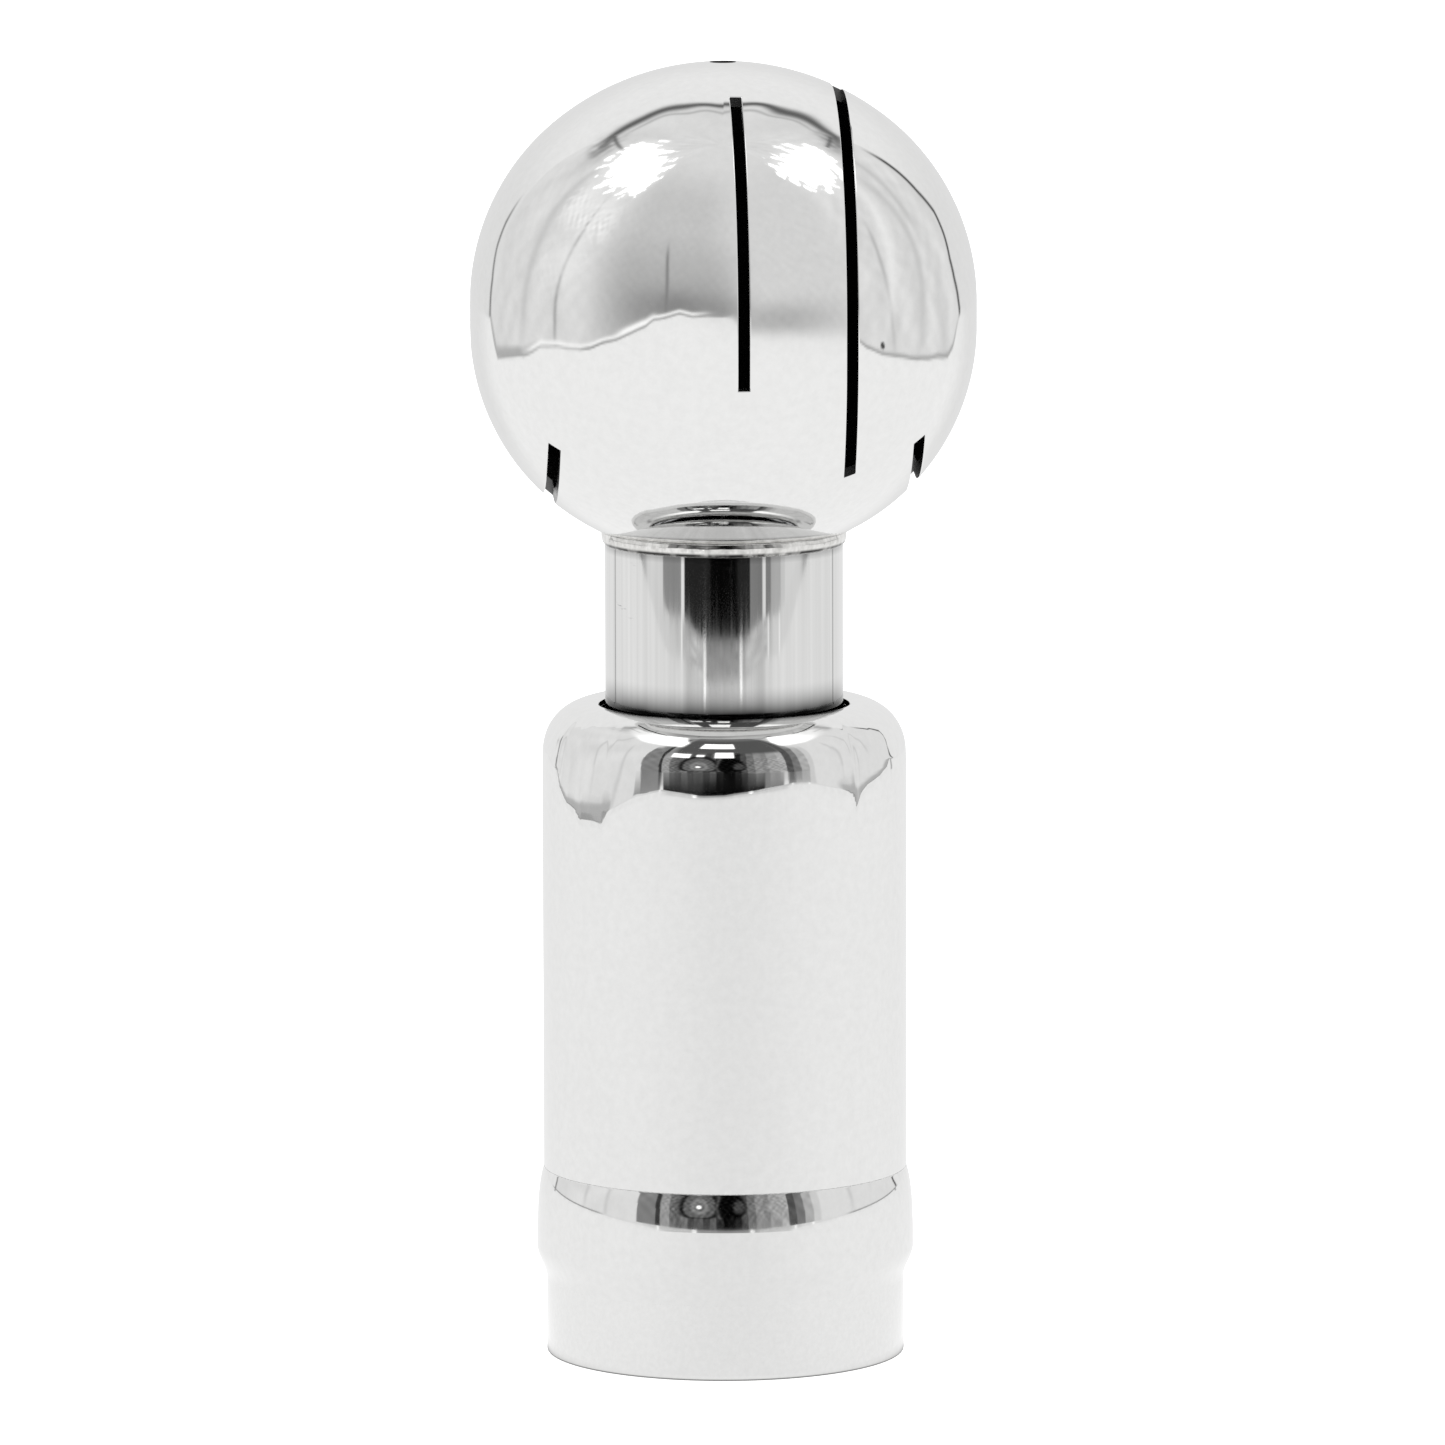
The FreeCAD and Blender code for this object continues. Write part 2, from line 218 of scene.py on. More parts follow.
def seam_lift(z):
    """The slope of the ball's surface near the equator, where polishing runs the domes together."""
    low = -math.asin((SEAM_REACH - LOWER_SKIRT) / LOWER_KNUCKLE)
    high = math.asin((SEAM_REACH - UPPER_SKIRT) / UPPER_KNUCKLE)
    u = np.clip(z / SEAM_REACH / 2 + 0.5, 0, 1)
    run_low = 2 * SEAM_REACH / LOWER_KNUCKLE / math.cos(low)
    run_high = 2 * SEAM_REACH / UPPER_KNUCKLE / math.cos(high)
    return (low * (2 * u ** 3 - 3 * u ** 2 + 1) + high * (3 * u ** 2 - 2 * u ** 3)
            + run_low * (u ** 3 - 2 * u ** 2 + u) + run_high * (u ** 3 - u ** 2))


def exit_distance(outside, shape):
    """How far out, at each place, outside(distance) turns positive."""
    low, high = np.zeros(shape), np.full(shape, 1.25 * BALL_R)
    for _ in range(44):
        t = (low + high) / 2
        past = outside(t) > 0
        high, low = np.where(past, t, high), np.where(past, low, t)
    return t


def dome_points(x, angle, depth):
    """Points and normals of the ball where planes x across the slots meet rays at an angle."""
    x, angle = np.broadcast_arrays(x[:, None], angle[None, :])
    along, up = np.cos(angle), np.sin(angle)
    t = exit_distance(lambda t: dome_gap(np.hypot(x, t * along), t * up, depth)[0], x.shape)
    y, z = t * along, t * up
    r = np.hypot(x, y)
    _, out, rise = dome_gap(r, z, depth)
    lift = seam_lift(z)
    near = np.abs(z) < SEAM_REACH
    out, rise = np.where(near, np.cos(lift), out), np.where(near, np.sin(lift), rise)
    points = x[..., None] * SLOT_NORMAL + y[..., None] * SLOT_FRONT + z[..., None] * UP
    radial = points * np.array([1, 1, 0]) / np.maximum(r, 1e-9)[..., None]
    return points, radial * out[..., None] + rise[..., None] * UP


def grid_lines(base, fixed, near):
    """Base lines without those closer than near to a fixed line, and the fixed lines."""
    fixed = np.array(sorted(fixed))
    keep = [b for b in base if np.abs(fixed - b).min() > near]
    return np.array(sorted(keep + fixed.tolist()))


def ball_grid():
    """Planes across the slots and ray angles, with lines on every slot edge and just outside it."""
    ease = 0.12
    x_fixed, angle_fixed = [-BALL_R, BALL_R], [0.0, 90.0, 180.0, 270.0]
    for offset, start, end in SLOTS:
        for side in (-1, 1):
            x_fixed += [offset + side * SLOT_HALF, offset + side * (SLOT_HALF + ease)]
        for edge, side in ((start, -1), (end, 1)):
            angle_fixed += [edge % 360, (edge + side * math.degrees(ease / 30)) % 360]
    x_base = (BALL_R * np.sin(np.radians(np.arange(-89, 89.1, 1.25)))).tolist()
    x_base += np.arange(-2.2, 2.21, 0.28).tolist()
    angle_base = np.arange(0, 360, 1.25).tolist() + np.arange(86, 94.1, 0.5).tolist()
    x = grid_lines(sorted(x_base), sorted(set(np.round(x_fixed, 6))), 0.11)
    angle = grid_lines(sorted(angle_base), sorted(set(np.round(angle_fixed, 6))), 0.2)
    return x, angle


def inside_slot(x, angle):
    """Whether a place on the ball is in one of the slots."""
    hit = np.zeros(np.broadcast(x, angle).shape, bool)
    for offset, start, end in SLOTS:
        turn = (angle - start) % 360
        hit |= (np.abs(x - offset) < SLOT_HALF - 1e-6) & (turn > 1e-6) & (turn < end - start - 1e-6)
    return hit


def touching(cells, grid):
    """The grid points at a corner of any of the cells."""
    corners = np.zeros((4,) + grid, bool)
    turned = np.roll(cells, 1, 1)
    corners[0, :-1], corners[1, 1:], corners[2, :-1], corners[3, 1:] = cells, cells, turned, turned
    return corners.any(0)


def round_hole(surface, rim, radius, sign, depth):
    """Moves the grid points on a hole's rim to its true circle."""
    surface[rim, :2] *= (radius / np.hypot(surface[rim, 0], surface[rim, 1]))[:, None]
    surface[rim, 2] = sign * exit_distance(lambda t: dome_gap(0 * t + radius, sign * t, depth)[0], 1)


def towards_open(open_cell, along):
    """The direction from each grid point to the open cells around it."""
    padded = np.pad(open_cell.astype(float), ((1, 1), (0, 0)))
    before, after = padded[:-1], padded[1:]
    both = before + after
    void = ((after + np.roll(after, 1, 1)) - (before + np.roll(before, 1, 1)))[..., None] * SLOT_NORMAL
    void = void + (both - np.roll(both, 1, 1))[..., None] * along[None]
    return void / np.maximum(np.linalg.norm(void, axis=-1, keepdims=True), 1e-9)


# The places of a dome's three materials
OUTSIDE, INSIDE, EDGE = range(3)


def build_ball(material, inner_material, edge_material):
    """Both domes from one grid of cells, with walls round the openings and along the seam."""
    x, angle = ball_grid()
    radians = np.radians(angle)
    grid = (len(x), len(angle))
    tip, straight = 1e-4, 28
    squeeze = (BALL_INNER - straight) / (BALL_R - straight)
    inner_x = np.where(np.abs(x) > straight, np.sign(x) * (straight + (np.abs(x) - straight) * squeeze), x)
    inner_x = np.clip(inner_x, tip - BALL_INNER, BALL_INNER - tip)
    outer, outer_normal = dome_points(np.clip(x, tip - BALL_R, BALL_R - tip), radians, 0.0)
    inner, inner_normal = dome_points(inner_x, radians, BALL_WALL)

    wrapped = np.append(angle, 360.0)
    x_mid = (x[:-1, None] + x[1:, None]) / 2
    angle_mid = ((wrapped[:-1] + wrapped[1:]) / 2)[None, :]
    middle = (outer[:-1] + outer[1:] + np.roll(outer[:-1], -1, 1) + np.roll(outer[1:], -1, 1)) / 4
    radius = np.hypot(middle[..., 0], middle[..., 1])
    in_neck = (radius < NECK_R + 0.2) & (middle[..., 2] < 0)
    in_pole = (radius < POLE_HOLE) & (middle[..., 2] > 0)
    in_slot = inside_slot(x_mid, angle_mid)
    open_cell = in_slot | in_neck | in_pole

    for hole, size, sign in ((in_neck, NECK_R + 0.02, -1), (in_pole, POLE_HOLE, 1)):
        rim = touching(hole, grid) & touching(~hole, grid)
        round_hole(outer, rim, size, sign, 0.0)
        round_hole(inner, rim, size, sign, BALL_WALL)

    worn_depth, worn_turn = 0.09, 0.9
    along = -np.sin(radians)[:, None] * SLOT_FRONT + np.cos(radians)[:, None] * UP
    slot_rim = touching(in_slot & ~in_neck, grid) & touching(~open_cell, grid)
    outer[slot_rim] -= worn_depth * outer_normal[slot_rim]
    outer_normal[slot_rim] += worn_turn * towards_open(open_cell, along)[slot_rim]

    outer_id = np.arange(len(x) * len(angle)).reshape(grid)
    inner_id = outer_id + outer_id.size
    half = (angle_mid[0] > 180).astype(int)
    faces, kinds = ([], []), ([], [])
    wall_points, wall_normals = [], []

    def add_face(side, kind, corners):
        faces[side].append(corners)
        kinds[side].append(kind)

    def add_wall(side, facing, here, there):
        start = 2 * outer_id.size + len(wall_points)
        wall_points.extend([outer[here], outer[there], inner[there], inner[here]])
        wall_normals.extend([facing] * 4)
        add_face(side, EDGE, [start, start + 3, start + 2, start + 1])

    rows, columns = open_cell.shape
    for i, j in zip(*np.nonzero(~open_cell)):
        k = (j + 1) % columns
        side = half[j]
        add_face(side, OUTSIDE, [outer_id[i, j], outer_id[i + 1, j], outer_id[i + 1, k], outer_id[i, k]])
        add_face(side, INSIDE, [inner_id[i, j], inner_id[i, k], inner_id[i + 1, k], inner_id[i + 1, j]])
        if i + 1 < rows and open_cell[i + 1, j]:
            add_wall(side, SLOT_NORMAL, (i + 1, j), (i + 1, k))
        if i > 0 and open_cell[i - 1, j]:
            add_wall(side, -SLOT_NORMAL, (i, k), (i, j))
        if open_cell[i, k] or half[k] != side:
            add_wall(side, along[k], (i + 1, k), (i, k))
        if open_cell[i, j - 1] or half[j - 1] != side:
            add_wall(side, -along[j], (i, j), (i + 1, j))
    points = np.concatenate([outer.reshape(-1, 3), inner.reshape(-1, 3), wall_points]) + BALL_Z * UP
    normals = np.concatenate([outer_normal.reshape(-1, 3), -inner_normal.reshape(-1, 3), wall_normals])
    made = []
    for side, name in enumerate(("ball_upper_dome", "ball_lower_dome")):
        used, flat = np.unique(np.array(faces[side]), return_inverse=True)
        obj = make_object(name, points[used], normals[used], flat.reshape(-1, 4).tolist(), material)
        obj.data.materials.append(inner_material)
        obj.data.materials.append(edge_material)
        obj.data.polygons.foreach_set("material_index", kinds[side])
        made.append(obj)
    return made


# ---------------------------------------------------------------- materials

class Nodes:
    """Short hands for building a node tree."""

    def __init__(self, name):
        self.material = bpy.data.materials.new(name)
        self.material.use_nodes = True
        self.tree = self.material.node_tree
        self.tree.nodes.clear()

    def add(self, kind, inputs=None, **settings):
        node = self.tree.nodes.new(kind)
        for key, value in settings.items():
            setattr(node, key, value)
        for key, value in (inputs or {}).items():
            if isinstance(value, bpy.types.NodeSocket):
                self.tree.links.new(value, node.inputs[key])
            else:
                node.inputs[key].default_value = value
        return node

    def stretched_noise(self, stretch, scale, detail=2.0, rough=0.5):
        """Noise in the object's own coordinates, drawn out by the stretch."""
        where = self.add("ShaderNodeTexCoord").outputs["Object"]
        mapped = self.add("ShaderNodeMapping", {"Vector": where, "Scale": stretch}).outputs["Vector"]
        return self.add("ShaderNodeTexNoise", {"Vector": mapped, "Scale": scale, "Detail": detail,
                                               "Roughness": rough}).outputs["Fac"]

    def remap(self, value, low, high, to_low, to_high):
        return self.add("ShaderNodeMapRange", {"Value": value, "From Min": low, "From Max": high,
                                               "To Min": to_low, "To Max": to_high}).outputs["Result"]

    def bump(self, height, distance, normal=None):
        inputs = {"Height": height, "Distance": distance, "Strength": 1.0}
        if normal is not None:
            inputs["Normal"] = normal
        return self.add("ShaderNodeBump", inputs).outputs["Normal"]

    def maths(self, operation, *values, clamp=False):
        inputs = dict(enumerate(values))
        return self.add("ShaderNodeMath", inputs, operation=operation, use_clamp=clamp).outputs[0]

    def product(self, first, second):
        return self.maths("MULTIPLY", first, second, clamp=True)

    def mix(self, share, first, second):
        """A colour between two, each a colour or a socket."""
        return self.add("ShaderNodeMix", {"Factor": share, 6: first, 7: second}, data_type="RGBA").outputs[2]

    def shaded(self, colour, share, shade):
        """A colour that turns to a grey shade where the share is high."""
        return self.mix(share, colour, (shade, shade, shade, 1))

    def coordinates(self):
        where = self.add("ShaderNodeTexCoord").outputs["Object"]
        return self.add("ShaderNodeSeparateXYZ", {"Vector": where}).outputs

    def metal(self, colour, rough, normal):
        """Ends the tree with a metal surface."""
        shader = self.add("ShaderNodeBsdfPrincipled", {"Base Color": colour, "Metallic": 1.0,
                                                       "Roughness": rough, "Normal": normal})
        self.add("ShaderNodeOutputMaterial", {"Surface": shader.outputs[0]})
        return self.material


def steel(name, colour, roughness, spread, lay, lay_scale, lay_depth, wave_depth=0.0, wave_scale=55.0):
    """Stainless steel: slow waves in the sheet, fine lines along its lay, and cloudy polish."""
    n = Nodes(name)
    cloud = n.stretched_noise(EVEN, 140.0, 3.0)
    lines = n.stretched_noise(lay, lay_scale, 4.0, 0.6)
    rough = n.maths("ADD", n.remap(cloud, 0.3, 0.7, roughness - spread, roughness + spread),
                    n.remap(lines, 0.35, 0.75, 0.0, spread))
    darker = [c * 0.94 for c in colour]
    mixed = n.mix(n.remap(lines, 0.3, 0.75, 0.0, 1.0), (*colour, 1), (*darker, 1))
    normal = n.bump(lines, lay_depth)
    if wave_depth:
        normal = n.bump(n.stretched_noise(EVEN, wave_scale, 1.0), wave_depth, normal)
    return n.metal(mixed, rough, normal)


EVEN = (1, 1, 1)
ALONG = (1, 1, 0.02)
AROUND = (0.03, 0.03, 1)
POLISH = (0.70, 0.70, 0.695)
ball_steel = steel("polished_ball", POLISH, 0.035, 0.012, EVEN, 900, 2e-7, 2.2e-5, 60)
shell_steel = steel("polished_shell", POLISH, 0.032, 0.010, EVEN, 900, 1e-7, 0.8e-5, 60)
dressed_steel = steel("dressed_fillet", POLISH, 0.035, 0.012, EVEN, 900, 1e-7, 0.8e-5, 60)
turned_polish = steel("turned_polish", POLISH, 0.04, 0.012, EVEN, 1500, 1e-7, 0.3e-5, 60)
# The ball's inside is painted near black: painted shade of the hollow ball, which keeps the slots dark.
shaded_inside_steel = steel("painted_shade_inside", (0.025, 0.025, 0.025), 0.50, 0.06, EVEN, 700, 3e-6)
# The slot walls are painted dark grey: painted shade inside the slots; their rougher finish is real.
shaded_cut_steel = steel("cut_edge_painted_shade", (0.12, 0.12, 0.12), 0.25, 0.08, AROUND, 1800, 3e-6)
turned_steel = steel("turned_steel", (0.60, 0.60, 0.59), 0.24, 0.05, AROUND, 2500, 4e-6)
thread_steel = steel("thread_steel", (0.58, 0.58, 0.57), 0.22, 0.05, AROUND, 2600, 3e-6)
bearing_steel = steel("bearing_steel", (0.68, 0.68, 0.69), 0.07, 0.02, AROUND, 2600, 5e-7)
spring_steel = steel("spring_steel", (0.48, 0.49, 0.50), 0.3, 0.06, EVEN, 900, 3e-6)


def neck_steel():
    """The neck's polish: streaks along it, scuffs on one side, and painted shade where it enters the housing.
    """
    n = Nodes("polished_neck")
    fine = n.stretched_noise(ALONG, 1500, 4.0, 0.6)
    broad = n.stretched_noise((1, 1, 0.012), 420, 3.0, 0.55)
    colour = n.mix(n.remap(broad, 0.32, 0.68, 0.0, 1.0), (0.67, 0.67, 0.665, 1), (0.56, 0.56, 0.555, 1))
    where = n.coordinates()
    # Painted shade: the neck turns near black towards the housing's top hole, standing in for the gap's
    # shadow and its dark reflection.
    painted_gap_shade = n.remap(where["Z"], (SHELL_TOP + 0.04) * MM, (SHELL_TOP + 3.94) * MM, 1.0, 0.0)
    painted_gap_shade = n.product(painted_gap_shade, n.remap(n.stretched_noise(EVEN, 130, 2.0), 0.2, 0.8, 0.9, 1.15))
    painted_gap_shade = n.maths("POWER", painted_gap_shade, 1.6, clamp=True)
    # Darker in a narrow band just below the weld's foot.
    below_weld_darkening = n.remap(where["Z"], (NECK_WELD_FOOT - 0.9) * MM, (NECK_WELD_FOOT - 0.2) * MM, 0.0, 0.35)
    scuffs = n.remap(n.stretched_noise((0.22, 0.22, 1), 1100, 3.0, 0.6), 0.66, 0.72, 0.0, 0.55)
    scuffs = n.product(scuffs, n.remap(where["X"], -0.0135, -0.0085, 1.0, 0.0))
    scuffs = n.product(scuffs, n.remap(where["Z"], 0.0955, 0.0975, 0.0, 1.0))
    for share, shade in ((scuffs, 0.2), (below_weld_darkening, 0.1), (painted_gap_shade, 0.004)):
        colour = n.shaded(colour, share, shade)
    normal = n.bump(fine, 5e-7, n.bump(broad, 2e-6))
    return n.metal(colour, n.remap(fine, 0.35, 0.75, 0.02, 0.055), normal)


def bead_steel():
    """The neck weld: painted shade in the creases along its two toes, broken up by the bead's scales."""
    n = Nodes("dressed_neck_weld")
    scales = n.stretched_noise((1, 1, 0.7), 900, 3.0, 0.6)
    breaks = n.remap(n.stretched_noise((1, 1, 0.3), 260, 3.0, 0.6), 0.34, 0.5, 0.25, 1.0)
    colour = n.mix(n.remap(scales, 0.35, 0.65, 0.0, 1.0), (0.72, 0.715, 0.70, 1), (0.52, 0.515, 0.50, 1))
    level = n.coordinates()["Z"]
    # Painted shade: a dark line along each toe's crease, where the bead meets the neck and where it meets the
    # ball.
    for toe, wide, deepest in ((NECK_WELD_FOOT + 0.26, 0.22, 0.97), (NECK_WELD_FOOT + 1.83, 0.14, 0.85)):
        off = n.maths("ABSOLUTE", n.maths("SUBTRACT", level, toe * MM))
        crease = n.remap(off, 0.3 * wide * MM, 1.6 * wide * MM, deepest, 0.0)
        colour = n.shaded(colour, n.product(crease, breaks), 0.01)
    normal = n.bump(scales, 3e-6, n.bump(n.stretched_noise(EVEN, 350, 1.0), 3e-5))
    return n.metal(colour, n.remap(scales, 0.3, 0.7, 0.06, 0.13), normal)


tube_steel = neck_steel()
neck_weld_steel = bead_steel()


# ---------------------------------------------------------------- object

upper, lower = build_ball(ball_steel, shaded_inside_steel, shaded_cut_steel)
place(upper, "rotor", "polished_steel", "ball_upper_shell")
place(lower, "rotor", "polished_steel", "ball_lower_shell")


def equator_bead():
    """The root of the seam weld inside the ball, in four runs between the slots that cross it."""
    centre, half_width, half_height = BALL_INNER - 0.05, 0.38, 0.62
    margin, end_length = 1.15 / BALL_INNER, 0.45
    cuts = []
    for offset, start, end in SLOTS:
        for level, sign in ((0.0, 1), (180.0, -1)):
            if (level - start) % 360 < end - start:
                reach = sign * math.sqrt(BALL_INNER ** 2 - offset ** 2)
                spot = offset * SLOT_NORMAL + reach * SLOT_FRONT
                cuts.append(math.atan2(spot[1], spot[0]) % TAU)
    cuts.sort()
    points, normals, faces = [], [], []
    around = np.linspace(0, TAU, 14, endpoint=False)
    count = len(around)
    for here, there in zip(cuts, cuts[1:] + [cuts[0] + TAU]):
        run = np.linspace(here + margin, there - margin, max(8, int((there - here) * 60)))
        from_end = np.minimum(run - run[0], run[-1] - run) * BALL_INNER
        swell = np.sqrt(np.clip(1 - (1 - np.clip(from_end / end_length, 0, 1)) ** 2, 0.02, 1))
        start = sum(len(p) for p in points)
        a, t = np.meshgrid(run, around, indexing="ij")
        scale = swell[:, None] * (1 + 0.08 * np.sin(a * 95) + 0.05 * np.sin(a * 151 + 1))
        r, z = centre + half_width * scale * np.cos(t), BALL_Z + half_height * scale * np.sin(t)
        points.append(np.stack([r * np.cos(a), r * np.sin(a), z], -1).reshape(-1, 3))
        normals.append(np.stack([np.cos(t) * np.cos(a), np.cos(t) * np.sin(a), np.sin(t)], -1).reshape(-1, 3))
        for i in range(start, start + (len(run) - 1) * count, count):
            for j in range(count):
                k = (j + 1) % count
                faces.append([i + j, i + count + j, i + count + k, i + k])
        faces.append([start + j for j in range(count)])
        faces.append([start + (len(run) - 1) * count + j for j in reversed(range(count))])
    points, normals = np.concatenate(points), np.concatenate(normals)
    # The root bead takes the inside's near-black colour, painted shade of the hollow ball.
    return make_object("equator_root_bead", points, normals, faces, shaded_inside_steel)


place(equator_bead(), "rotor", "weld_steel", "ball_equator_weld")


def low_dome(r):
    """The height of the lower dome's outside at a radius."""
    return BALL_Z - LOWER_SKIRT - math.sqrt(LOWER_KNUCKLE ** 2 - (r - BALL_R + LOWER_KNUCKLE) ** 2)


def neck_weld():
    """A round bead at the neck, with a crease above it where it runs into the ball."""
    bead = ((0, 0), (0.10, 0.03), (0.30, 0.30), (0.42, 0.8), (0.44, 1.25), (0.36, 1.62), (0.30, 1.78),
            (0.38, 1.92), (0.62, 2.02))
    edge, buried = 17.0, 0.3
    section = [(NECK_R + out, NECK_WELD_FOOT + up) for out, up in bead]
    section += [(r, low_dome(r) - 0.05 * (edge - r) / 1.1) for r in np.arange(edge - 0.9, edge + 0.01, 0.15)]
    section += [(edge - 0.1, low_dome(edge - 0.1) + buried), (NECK_R - 0.05, low_dome(NECK_R) + buried),
                (NECK_R - 0.05, NECK_WELD_FOOT)]

    def shift(a, r, z):
        face = np.clip((r - NECK_R) / 0.12, 0, 1) * np.clip((NECK_WELD_FOOT + 2.1 - z) / 0.3, 0, 1)
        side = 0.35 + 0.65 * np.abs(np.cos(a)) ** 2
        scales = 0.035 * ripple(a, z, 7, (24, 80), (-3, 3)) + 0.12 * ripple(a, z, 8, (5, 22), (-2, 2))
        return face * scales * side
    return revolve("neck_weld_bead", eased(section, step=0.12), neck_weld_steel, 900, shift)


place(neck_weld(), "rotor", "weld_steel", "neck_weld")


def rotor_tube():
    """The neck and the hollow shaft below it, with the circlip's groove near its foot."""
    foot, top = (corner.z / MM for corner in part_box("rotor_tube"))
    shoulder = UPPER_ROW_Z + RACE_RADIUS * math.sin(math.radians(RACE_END))
    groove, groove_r = foot + 1.9, 13.78
    ring = eased([(NECK_BORE, foot, 0.3), (SEAT_R, foot, 0.25), (SEAT_R, groove, 0.05),
                  (groove_r, groove, 0.05), (groove_r, groove + CIRCLIP, 0.05),
                  (SEAT_R, groove + CIRCLIP, 0.05), (SEAT_R, shoulder, 0.1), (NECK_R, shoulder, 0.15),
                  (NECK_R, top, 0.25), (NECK_BORE, top, 0.25)])
    return revolve("rotor_neck_tube", ring, tube_steel)


place(rotor_tube(), "rotor", "polished_tube", "rotor_tube")


def bell_flare():
    """The flare from the bell up to the shell, steepest at its top and eased at both ends."""
    foot, blur = BELL_FULL + 0.5, 0.1
    heights = np.linspace(BELL_MOUTH + 0.6, BELL_TOP + blur, 200)
    share = np.clip((heights - foot) / (BELL_TOP - foot), 0, 1)
    slope = blend(0.04 * step(heights, 16, 1), 0.078 + 0.235 * share ** 2, step(heights, foot, blur))
    slope *= 1 - step(heights, BELL_TOP, blur)
    inward = np.cumsum(slope) * (heights[1] - heights[0])
    inward *= (BELL_R - SHELL_R) / inward[-1]
    return [(BELL_R - i, z) for i, z in zip(inward, heights)]


def shell_section():
    """The drawn housing: bell, wall, rolled shoulder and the edge of the top hole, then back inside."""
    flare = bell_flare()
    edge = ((16.75, 0.03), (16.4, 0.13), (TOP_HOLE + 0.05, 0.32), (TOP_HOLE, 0.45))
    section = [(BELL_R, BELL_MOUTH), (BELL_R, BELL_MOUTH + 0.002), (BELL_R, BELL_MOUTH + 0.4)]
    section += flare
    section += [(SHELL_R, z) for z in np.arange(BELL_TOP, SHOULDER_CENTRE_Z - 0.3, 0.6)]
    section += arc(SHOULDER_CENTRE_R, SHOULDER_CENTRE_Z, SHOULDER_R, 0, 87, 1.5)
    section += [(r, SHELL_TOP - down) for r, down in edge] + [(TOP_HOLE, SHELL_TOP - SHELL_WALL, 0.15)]
    section += arc(SHOULDER_CENTRE_R, SHOULDER_CENTRE_Z, SHOULDER_R - SHELL_WALL, 90, 0, 6)
    section += [(r - SHELL_WALL, z) for r, z in reversed(flare[::6])]
    section += [(BELL_R - SHELL_WALL, BELL_MOUTH, 0.1)]
    return eased(section, step=1.5)


# Where the shoulder starts to lean in, and where it leans more: degrees round from the front, heights
FOOT_TURN = [-180, -120, -75, -66, -64, -59.5, -55, -52, -46, -42, -39, -34, -29, -20, -7,
             0, 10, 22, 28, 36, 41, 44, 46, 48, 51, 58, 64, 75, 120, 180]
FOOT_HEIGHT = [76, 76.6, 77.8, 77.0, 74.8, 72.9, 72.2, 70.8, 71.0, 70.7, 72.8, 73.9, 74.8, 76.0, 75.4,
               75.5, 76.1, 76.8, 76.7, 76.1, 75.5, 74.6, 72.8, 74.6, 75.7, 76.6, 78.0, 77.8, 76.2, 76]
RISE_TURN = [-180, -75, -66, -64, -59.5, -50, -40, -34, -29, -20, -7,
             0, 10, 22, 28, 36, 41, 46, 51, 58, 64, 75, 180]
RISE_HEIGHT = [77, 78.4, 77.3, 75.3, 73.6, 73.0, 73.4, 74.5, 75.5, 76.3, 75.7,
               75.8, 76.4, 77.1, 77.0, 76.4, 75.8, 75.3, 76.0, 76.9, 78.4, 78.2, 77]


def shell_shift(a, r, z):
    """Where the polishing runs the shoulder out into the straight wall, lower in two places."""
    azimuth = (np.degrees(a[0]) + 90 + 180) % 360 - 180
    foot = np.interp(azimuth, FOOT_TURN, FOOT_HEIGHT)[:, None]
    rise = np.interp(azimuth, RISE_TURN, RISE_HEIGHT)[:, None]
    side = 1 / np.clip(np.cos(np.radians(azimuth)), 0.36, 1)
    lean = blend(side, 1.0, step(np.abs(azimuth), 82, 7))[:, None]
    flank = step(np.abs(azimuth), 33, 5)[:, None]
    heights = np.linspace(66, 84, 361)
    spacing = heights[1] - heights[0]
    level = np.broadcast_to(heights, (len(azimuth), len(heights)))
    tilt = lean * ((1.25 + 0.75 * flank) * step(level, foot, 0.25)
                   + (0.6 + 0.6 * flank) * step(level, rise + 0.2, 0.25)
                   + 0.8 * step(level, rise + 2.2, 1.4))
    tilt = tilt * (1 - step(level, 79.6, 1.1))
    lost = np.cumsum(np.tan(np.radians(tilt)), 1) * spacing
    row = np.clip((z - heights[0]) / spacing, 0, len(heights) - 1)
    low = np.minimum(row.astype(int), len(heights) - 2)
    column = np.broadcast_to(np.arange(z.shape[1])[None, :], z.shape)
    deep = blend(lost[column, low], lost[column, low + 1], row - low)
    out, up = r - SHOULDER_CENTRE_R, z - SHOULDER_CENTRE_Z
    skin = np.hypot(np.maximum(out, 0), np.maximum(up, 0)) > SHOULDER_R - 0.4
    share = np.clip(out / SHOULDER_R, 0, 1)
    waves = 0.004 * ripple(a, z * 0.12, 3, (3, 9), (-1, 1)) * np.clip((z - 28) / 5, 0, 1)
    return (-deep * share + waves) * skin


place(revolve("housing_drawn_shell", shell_section(), shell_steel, 540, shell_shift),
      "housing", "polished_steel", "housing_shell")


def housing_weld():
    """The fillet at the bell's mouth, ground and polished to run smoothly into both."""
    height, root = BELL_MOUTH - BELL_WELD_FOOT, CONNECTOR_R - 0.02
    fillet = [(blend(CONNECTOR_R, BELL_R, t * t * (3 - 2 * t)), BELL_WELD_FOOT + height * t)
              for t in np.linspace(0, 1, 26)]
    ring = np.array(fillet[:-1] + [(BELL_R, BELL_MOUTH - 0.002), (BELL_R, BELL_MOUTH),
                                   (root, BELL_MOUTH), (root, BELL_WELD_FOOT)])

    def shift(a, r, z):
        face = np.clip((z - BELL_WELD_FOOT) / 1.5, 0, 1) * np.clip((BELL_MOUTH - 0.3 - z) / 1.5, 0, 1)
        return 0.012 * ripple(a, z, 12, (9, 40), (-0.6, 0.6)) * face * (r > CONNECTOR_R)
    return revolve("housing_weld_bead", ring, dressed_steel, 540, shift)


place(housing_weld(), "housing", "weld_steel", "housing_weld")


